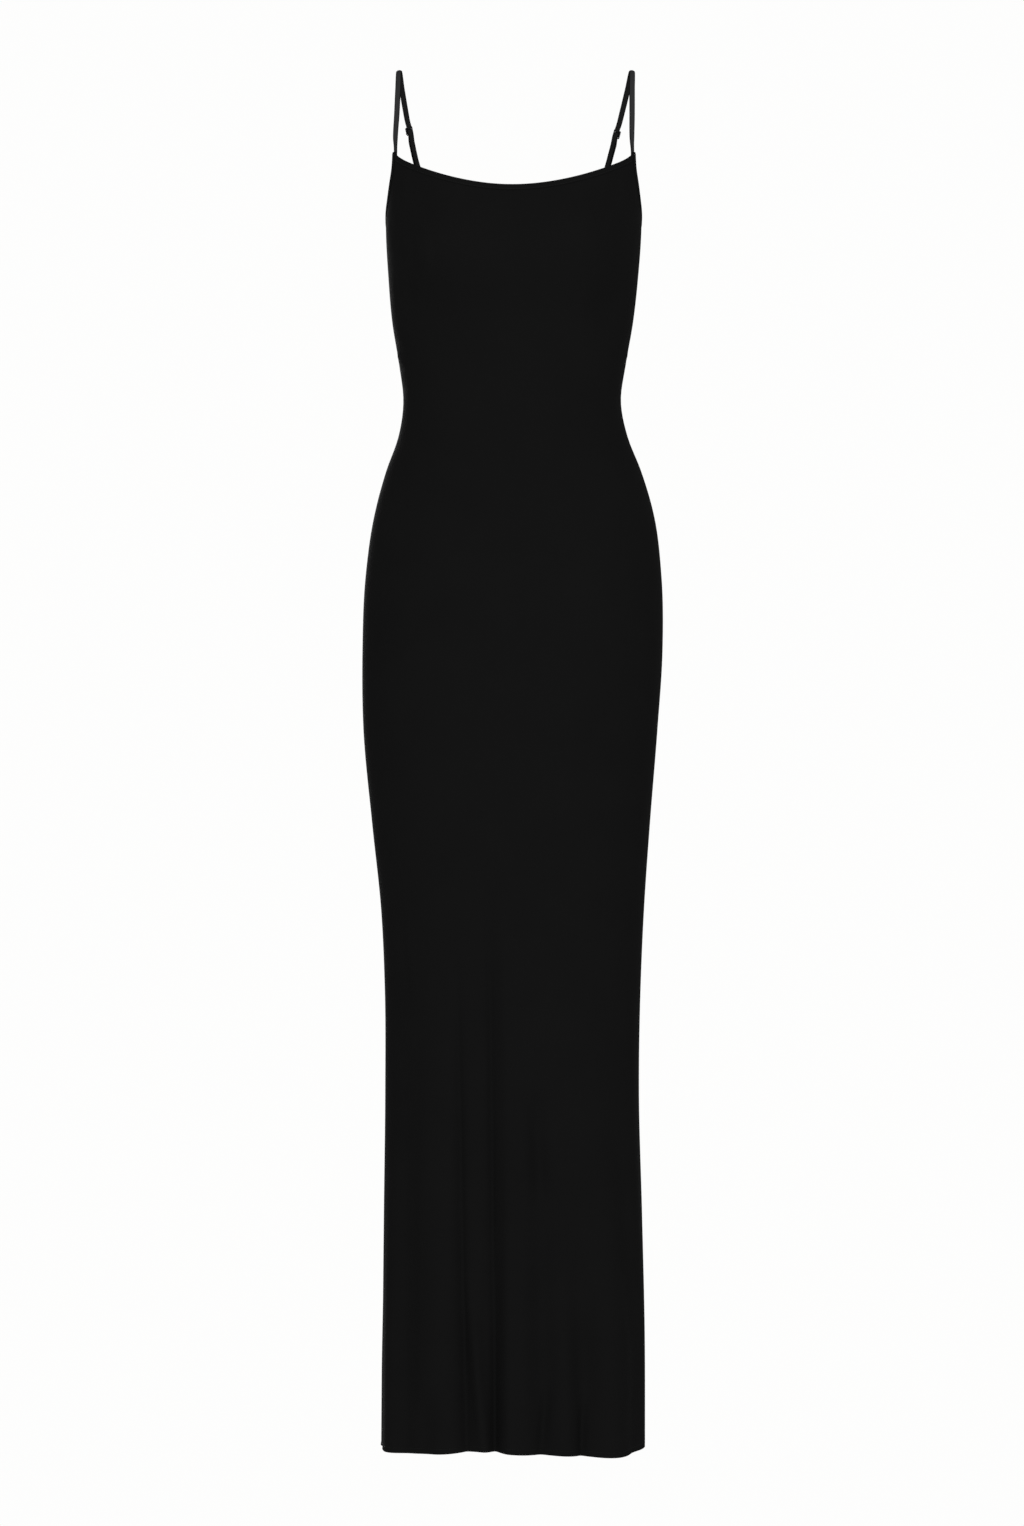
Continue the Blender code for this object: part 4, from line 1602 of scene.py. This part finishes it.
    def ribbon(
        self,
        name: str,
        path: list,
        place: Callable,
        material: Material,
        twist: int | None = None,
        crown: Array | float = 0.0,
    ) -> Object:
        """Makes a ribbed elastic with rounded edges.

        Args:
            name: the piece's name.
            path: the elastic's middle line as (along, away).
            place: gives a point for a distance along, away and across.
            material: its finish.
            twist: the point of the path past which the elastic's dull face, the one without
                painted sheen, is the other one.
            crown: how far the edges curl down from the middle, at each point of the path.

        Returns:
            The elastic, closed at both ends.
        """
        line, edge = (
            np.array([tuple(place(along, away, wide)) for along, away in path])
            for wide in (0.0, STRAP_WIDTH / 2)
        )
        across, ahead = unit(edge - line), unit(np.gradient(line, axis=0))
        out = unit(np.cross(across, ahead))
        turns = np.radians(np.arange(0, 360, 360 / ELASTIC_POINTS))
        cosine, sine = np.cos(turns), np.sin(turns)
        wide = np.sign(cosine) * np.abs(cosine) ** EDGE_ROUND * ELASTIC_WIDTH / 2
        ribs = 1 - RIB_DEPTH * (0.5 + 0.5 * np.cos(2 * np.pi * wide / RIB_PITCH))
        thick = np.sign(sine) * np.abs(sine) ** FACE_FLAT * STRAP_WALL / 2 * ribs
        curl = np.broadcast_to(crown, len(line))[:, None] * (wide / (ELASTIC_WIDTH / 2)) ** 2
        lifted = out[:, None] * (thick - curl)[..., None]
        points = line[:, None] + across[:, None] * wide[:, None] + lifted
        count, around = points.shape[:2]
        along = np.broadcast_to(running_length(line)[:, None], (count, around))
        side = np.where(np.arange(count) < (twist or count), 1, -1)
        flat = np.stack([wide + FACE_APART * (side[:, None] * sine < -0.01), along], axis=-1)
        faces = grid_faces(count, around, closed=True)
        faces += [list(range(around))[::-1], list(range((count - 1) * around, count * around))]
        piece = mesh_piece(name, points, faces, material, flat)
        only(piece)
        bpy.ops.object.mode_set(mode="EDIT")
        bpy.ops.mesh.select_all(action="SELECT")
        bpy.ops.mesh.normals_make_consistent(inside=False)
        bpy.ops.object.mode_set(mode="OBJECT")
        return piece

    def build(self, material: Material) -> Object:
        """Makes the strap.

        Args:
            material: its finish.

        Returns:
            The strap.
        """
        path = self.path()
        turned = max(i for i, (s, _) in enumerate(path) if s > self.end)
        over = (np.array([s for s, _ in path]) - self.top) / SHOULDER_REACH
        crown = SHOULDER_CURL * np.exp(-(over**2)) * (np.arange(len(path)) < turned)
        name = f"elastic_strap_{self.side.word}"
        return self.ribbon(name, path, self.spot, material, turned, crown)

    def tab(self, material: Material) -> Object:
        """Makes the short loop of strap that holds the ring, sewn behind the back binding.

        Args:
            material: its finish.

        Returns:
            The loop.
        """
        turn = RING_WIRE + SEAM + STRAP_WALL / 2
        apart = (STRAP_WALL + SEAM) / 2
        low = RING_ABOVE_EDGE + STRAP_TAIL
        leg = [(low, apart), (low - TAB_START, apart)]
        leg += [(RING_BEND + TAB_BEND, apart), (RING_BEND + TAB_OPENS, apart + TAB_SPREAD)]
        path = [*leg, *arc((RING_BEND, 0), turn, 360, 180, TURN_STEPS)]
        path += [(along, -away) for along, away in reversed(leg)]
        return self.ribbon(f"ring_loop_{self.side.word}", path, self.ring.at, material)


@dataclass(frozen=True)
class Slider:
    """The strap's adjuster: a plate with two slots, its corners and edges rounded."""

    place: Frame
    material: Material
    corner: float = 1.5
    slot_corner: float = 0.5
    edge: float = 0.2
    keen: float = 50.0
    smooth: float = 35.0
    near: float = 1e-3
    half_bar: float = SLIDER_MIDDLE_BAR / 2
    slot_half: float = STRAP_WIDTH / 2 + SLIDER_SIDE_GAP
    width: float = STRAP_WIDTH + 2 * (SLIDER_SIDE_GAP + SLIDER_RAIL)
    height: float = SLIDER_MIDDLE_BAR + 2 * (SLIDER_SLOT + SLIDER_END_BAR)

    def build(self, name: str) -> Object:
        """Makes the slider from a box: cuts its lines, opens its slots, and rounds it.

        Args:
            name: the piece's name.

        Returns:
            The slider.
        """
        half_bar, slot_half = self.half_bar, self.slot_half
        piece = primitive(name, bpy.ops.mesh.primitive_cube_add, size=1, calc_uvs=False)
        bpy.ops.object.mode_set(mode="EDIT")
        bpy.ops.transform.resize(value=(self.width * MM, self.height * MM, SLIDER_WALL * MM))
        cuts = [((x, 0, 0), (1, 0, 0)) for x in (-slot_half, slot_half)]
        ends = (half_bar, half_bar + SLIDER_SLOT)
        cuts += [((0, y, 0), (0, 1, 0)) for end in ends for y in (-end, end)]
        for point, normal in cuts:
            bpy.ops.mesh.select_all(action="SELECT")
            bpy.ops.mesh.bisect(plane_co=[v * MM for v in point], plane_no=normal)
        for sign in (-1, 1):
            middle = sign * (half_bar + SLIDER_SLOT / 2) * MM
            pick(piece, "polygons", lambda face: self.over_slot(face, middle))
            bpy.ops.mesh.bridge_edge_loops()
        for inside, radius, steps in ((False, self.corner, 6), (True, self.slot_corner, 3)):
            pick(piece, "edges", lambda edge: self.upright(piece, edge, inside))
            bpy.ops.mesh.bevel(
                offset=radius * MM, offset_type="OFFSET", segments=steps, affect="EDGES"
            )
        bpy.ops.object.mode_set(mode="OBJECT")
        piece.data.transform(self.place.matrix())
        rounding = piece.modifiers.new("rounding", "BEVEL")
        rounding.width = self.edge * MM
        rounding.segments = 3
        rounding.limit_method = "ANGLE"
        rounding.angle_limit = math.radians(self.keen)
        settle(piece)
        bpy.ops.object.shade_smooth_by_angle(angle=math.radians(self.smooth))
        piece.data.materials.append(self.material)
        return piece

    @staticmethod
    def over_slot(face: MeshPolygon, middle: float) -> bool:
        """Whether a face of the plate covers the slot with this middle."""
        x, y, _ = face.center
        return abs(x) < MM and abs(y - middle) < MM / 2 and abs(face.normal.z) > 0.9

    def upright(self, piece: Object, edge: MeshEdge, inside: bool) -> bool:
        """Whether an edge stands through the plate at one of its corners, or at a slot's corner.

        Args:
            piece: the slider.
            edge: the edge.
            inside: True for a slot's corners, False for the plate's.

        Returns:
            Whether it is such an edge.
        """
        a, b = (piece.data.vertices[i].co / MM for i in edge.vertices)
        if abs(a.z - b.z) < SLIDER_WALL * 0.9:
            return False
        across, down = self.width / 2, (self.height / 2,)
        if inside:
            across, down = self.slot_half, (self.half_bar, self.half_bar + SLIDER_SLOT)
        off = (abs(abs(a.x) - across), min(abs(abs(a.y) - y) for y in down))
        return max(off) < self.near


@dataclass(frozen=True)
class Ring:
    """The bent wire at the back that the strap runs round, with two straight bars."""

    place: Frame
    material: Material

    def build(self, name: str) -> Object:
        """Makes the ring from a round one, drawn out to its straight bars.

        Args:
            name: the piece's name.

        Returns:
            The ring.
        """
        size = {"major_radius": RING_BEND * MM, "minor_radius": RING_WIRE * MM}
        steps = {"major_segments": 40, "minor_segments": 14, "generate_uvs": False}
        piece = primitive(name, bpy.ops.mesh.primitive_torus_add, **size, **steps)
        for sign in (-1, 1):
            pick(piece, "vertices", lambda vertex: vertex.co.x * sign > 1e-6)
            bpy.ops.transform.translate(value=(sign * RING_BAR / 2 * MM, 0, 0))
        bpy.ops.object.mode_set(mode="OBJECT")
        piece.data.transform(self.place.matrix())
        piece.data.shade_smooth()
        piece.data.materials.append(self.material)
        return piece


@dataclass(frozen=True)
class Studio:
    """A pale round set that throws no light on the dress, the soft lights and the camera."""

    floor: float = -1.75
    clear: float = 1.25
    shade_reach: float = 0.2
    shade: float = 0.72
    shadowed: tuple = (0.35, 0.35, 0.35)
    radius: float = 9.0
    bend: float = 2.0
    wall: float = 6.0
    white: float = 0.985
    ambient: float = 0.62
    camera_distance: float = 5.0
    camera_height: float = -0.7266
    frame_height: float = 1.6023
    sensor: float = 24.0
    floor_rings: tuple = (0.0001, 0.6, 1.25, 3.0, 5.0)
    lamps: tuple = (
        ("key", (1.8, -4.4, -0.6), (1.8, 3.0), 80),
        ("fill", (-1.7, -4.5, -0.6), (1.8, 3.0), 68),
        ("top", (0.2, -1.2, 2.2), (2.0, 2.0), 6),
        ("rear", (-1.2, 4.4, 0.4), (2.0, 2.4), 110),
    )

    def shell(self) -> Object:
        """A round floor that sweeps up into a wall.

        Returns:
            The set's shell.
        """
        turn = np.radians(np.linspace(0, 90, 9))
        reach = self.radius - self.bend + self.bend * np.sin(turn)
        ring = [(r, self.floor) for r in self.floor_rings]
        ring += list(zip(reach, self.floor + self.bend * (1 - np.cos(turn))))
        ring += [(self.radius, self.floor + self.wall)]
        angles = np.radians(np.arange(0, 360, 5))
        rows = [[(r * math.cos(a), r * math.sin(a), z) for r, z in ring] for a in angles]
        points = np.array([*rows, rows[0]]) / MM
        faces = grid_faces(*points.shape[:2])
        shell = mesh_piece("studio_shell", points, faces, self.paper())
        shell.visible_diffuse = shell.visible_glossy = False
        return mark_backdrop(shell) or shell

    def paper(self) -> Material:
        """White paper: it takes a soft shadow near the middle and is evenly white further out.

        Returns:
            The finish.
        """
        t = Tree("studio_paper")
        place = t.add("SeparateXYZ", {0: t.place()}).outputs
        squares = [t.sum("MULTIPLY", v, v) for v in place[:2]]
        edge = t.eased(t.sum("SQRT", t.sum("ADD", *squares)), self.shade_reach, self.clear)
        grain = t.noise(60, 3)
        glow = t.ranged(edge, self.shade, self.white)
        glow = t.sum("MULTIPLY", glow, t.ranged(grain, 0.999, 1.001))
        t.surface(
            Base_Color=t.blend(edge, self.shadowed, (0, 0, 0)),
            Roughness=0.9,
            Specular_IOR_Level=0.0,
            Emission_Color=(1.0, 1.0, 0.996, 1),
            Emission_Strength=glow,
        )
        return t.material

    def lamp(self, name: str, place: tuple, size: tuple, power: float) -> None:
        """Adds a soft rectangular light that faces the middle of the dress.

        Args:
            name: the light's name.
            place: where it stands.
            size: its width and height.
            power: its power, in watts.
        """
        facing = Vector((0, 0, self.camera_height)) - Vector(place)
        data = bpy.data.lights.new(name, "AREA")
        data.shape, data.size, data.size_y, data.energy = "RECTANGLE", *size, power
        lamp = bpy.data.objects.new(name, data)
        bpy.context.scene.collection.objects.link(lamp)
        lamp.location = place
        lamp.rotation_euler = facing.to_track_quat("-Z", "Y").to_euler()

    def build(self) -> None:
        """Makes the set, the lights, the sky and the camera."""
        self.shell()
        for row in self.lamps:
            self.lamp(*row)
        world = bpy.data.worlds.new("studio_air")
        bpy.context.scene.world = world
        world.use_nodes = True
        sky = world.node_tree.nodes["Background"].inputs
        sky[0].default_value, sky[1].default_value = (1, 1, 1, 1), self.ambient
        lens = bpy.data.cameras.new("camera")
        lens.sensor_fit, lens.sensor_height = "VERTICAL", self.sensor
        lens.lens = self.sensor * self.camera_distance / self.frame_height
        lens.clip_end = 100
        camera = bpy.data.objects.new("camera", lens)
        bpy.context.scene.collection.objects.link(camera)
        camera.location = (0, -self.camera_distance, self.camera_height)
        camera.rotation_euler = (math.radians(90), 0, 0)
        bpy.context.scene.camera = camera
        bpy.context.scene.view_settings.view_transform = "Standard"


class SlipDress:
    """The whole dress: its cloth, bindings, stitching, straps and fittings."""

    def __init__(self) -> None:
        """Prepares the form and the finishes."""
        self.figure = Figure()
        self.finish = Finishes.make()
        self.stitches = Stitching(self.finish.thread)

    def bindings(self) -> None:
        """Makes the four bindings and their stitching, on the outside and the inside."""
        binding = Binding(self.figure, self.finish.binding)
        made = [
            (*binding.neck_front(), "neck_binding_front", 0.300, "front"),
            (*binding.neck_back(), "neck_binding_back", 0.196, "back"),
            (*binding.armhole(Side.LEFT), "armhole_binding_left", 0.165, "back"),
            (*binding.armhole(Side.RIGHT), "armhole_binding_right", 0.165, "back"),
        ]
        share = np.linspace(SEWN_FROM, 1 - SEWN_FROM, BINDING_POINTS)
        for piece, place, node, length, half in made:
            sewn_on(piece, "jersey", node)
            angle, height = place(share, np.full(share.shape, binding.stitch_line))
            outward = self.figure.outward(angle, height)
            for word, sign in (("outer", 1), ("inner", -1)):
                line = self.figure.cloth(angle, height, sign * (binding.spread + STITCH_LIFT))
                row = self.stitches.row(f"{piece.name}_{word}_stitches", line, outward)
                sewn_on(row, "jersey")

    def panels(self) -> None:
        """Makes the front and back cloth and their hem stitching."""
        for half, span, flat in (
            (Half.FRONT, (-88.5, 88.5), (0.43, 1.37)),
            (Half.BACK, (91.5, 268.5), (0.455, 1.31)),
        ):
            panel = Panel(half, self.figure, self.finish.jersey)
            piece = sewn_on(panel.build(), "jersey", f"{half.value}_panel")
            angle = np.linspace(*span, HEM_POINTS)
            height = self.figure.hem(angle) + panel.hem_line
            outward = self.figure.outward(angle, height)
            lift = panel.wall / 2 - panel.pinch[0] + HEM_STITCH_LIFT
            line = self.figure.cloth(angle, height, lift)
            row = sewn_on(self.stitches.row(f"{half.value}_hem_stitches", line, outward), "jersey")
            extra = []
            if half is Half.FRONT:
                overlock = Overlock(self.figure, self.finish.thread)
                extra = [sewn_on(overlock.build(side), "jersey") for side in Side]

    def straps(self) -> None:
        """Makes each strap with its slider, ring, loop and bar tacks."""
        for side in Side:
            strap = Strap(side, self.figure)
            word = side.word
            sewn_on(strap.build(self.finish.elastic), "strap_webbing", f"strap_{word}")
            sewn_on(strap.tab(self.finish.elastic), "strap_webbing", f"ring_tab_{word}")
            slider = Slider(strap.slider, self.finish.coating).build(f"strap_slider_{word}")
            sewn_on(slider, "coated_metal", f"slider_{word}")
            ring = Ring(strap.ring, self.finish.coating).build(f"strap_ring_{word}")
            sewn_on(ring, "coated_metal", f"ring_{word}")
            for name, at, top in (
                ("front", STRAP_ANGLE_FRONT, NECK_FRONT_TOP),
                ("back", STRAP_ANGLE_BACK, NECK_BACK_STRAP),
            ):
                self.bar_tack(f"{name}_tack_{word}", side.value * at, top - TACK_DROP)

    def bar_tack(self, name: str, angle: float, height: float) -> None:
        """Sews a short dense bar of stitches through a binding and the strap behind it.

        Args:
            name: the row's name.
            angle: the angle of its middle.
            height: its height.
        """
        f = self.figure
        per_degree = f.run_to(abs(angle) + 1) - f.run_to(abs(angle))
        angles = angle + np.linspace(-TACK_HALF, TACK_HALF, TACK_POINTS) / per_degree
        heights = np.full(TACK_POINTS, height)
        line, outward = f.cloth(angles, heights, TACK_LIFT), f.outward(angles, heights)
        sewn_on(self.stitches.row(name, line, outward, across=True), "jersey")


def main() -> None:
    """Builds the dress and its set, in order."""
    logging.basicConfig(level=logging.INFO, format="%(name)s %(message)s")
    bpy.ops.object.select_all(action="DESELECT")
    dress = SlipDress()
    dress.straps()
    dress.panels()
    dress.bindings()
    Studio().build()
    LOG.info("size written")


if __name__ == "__main__":
    main()
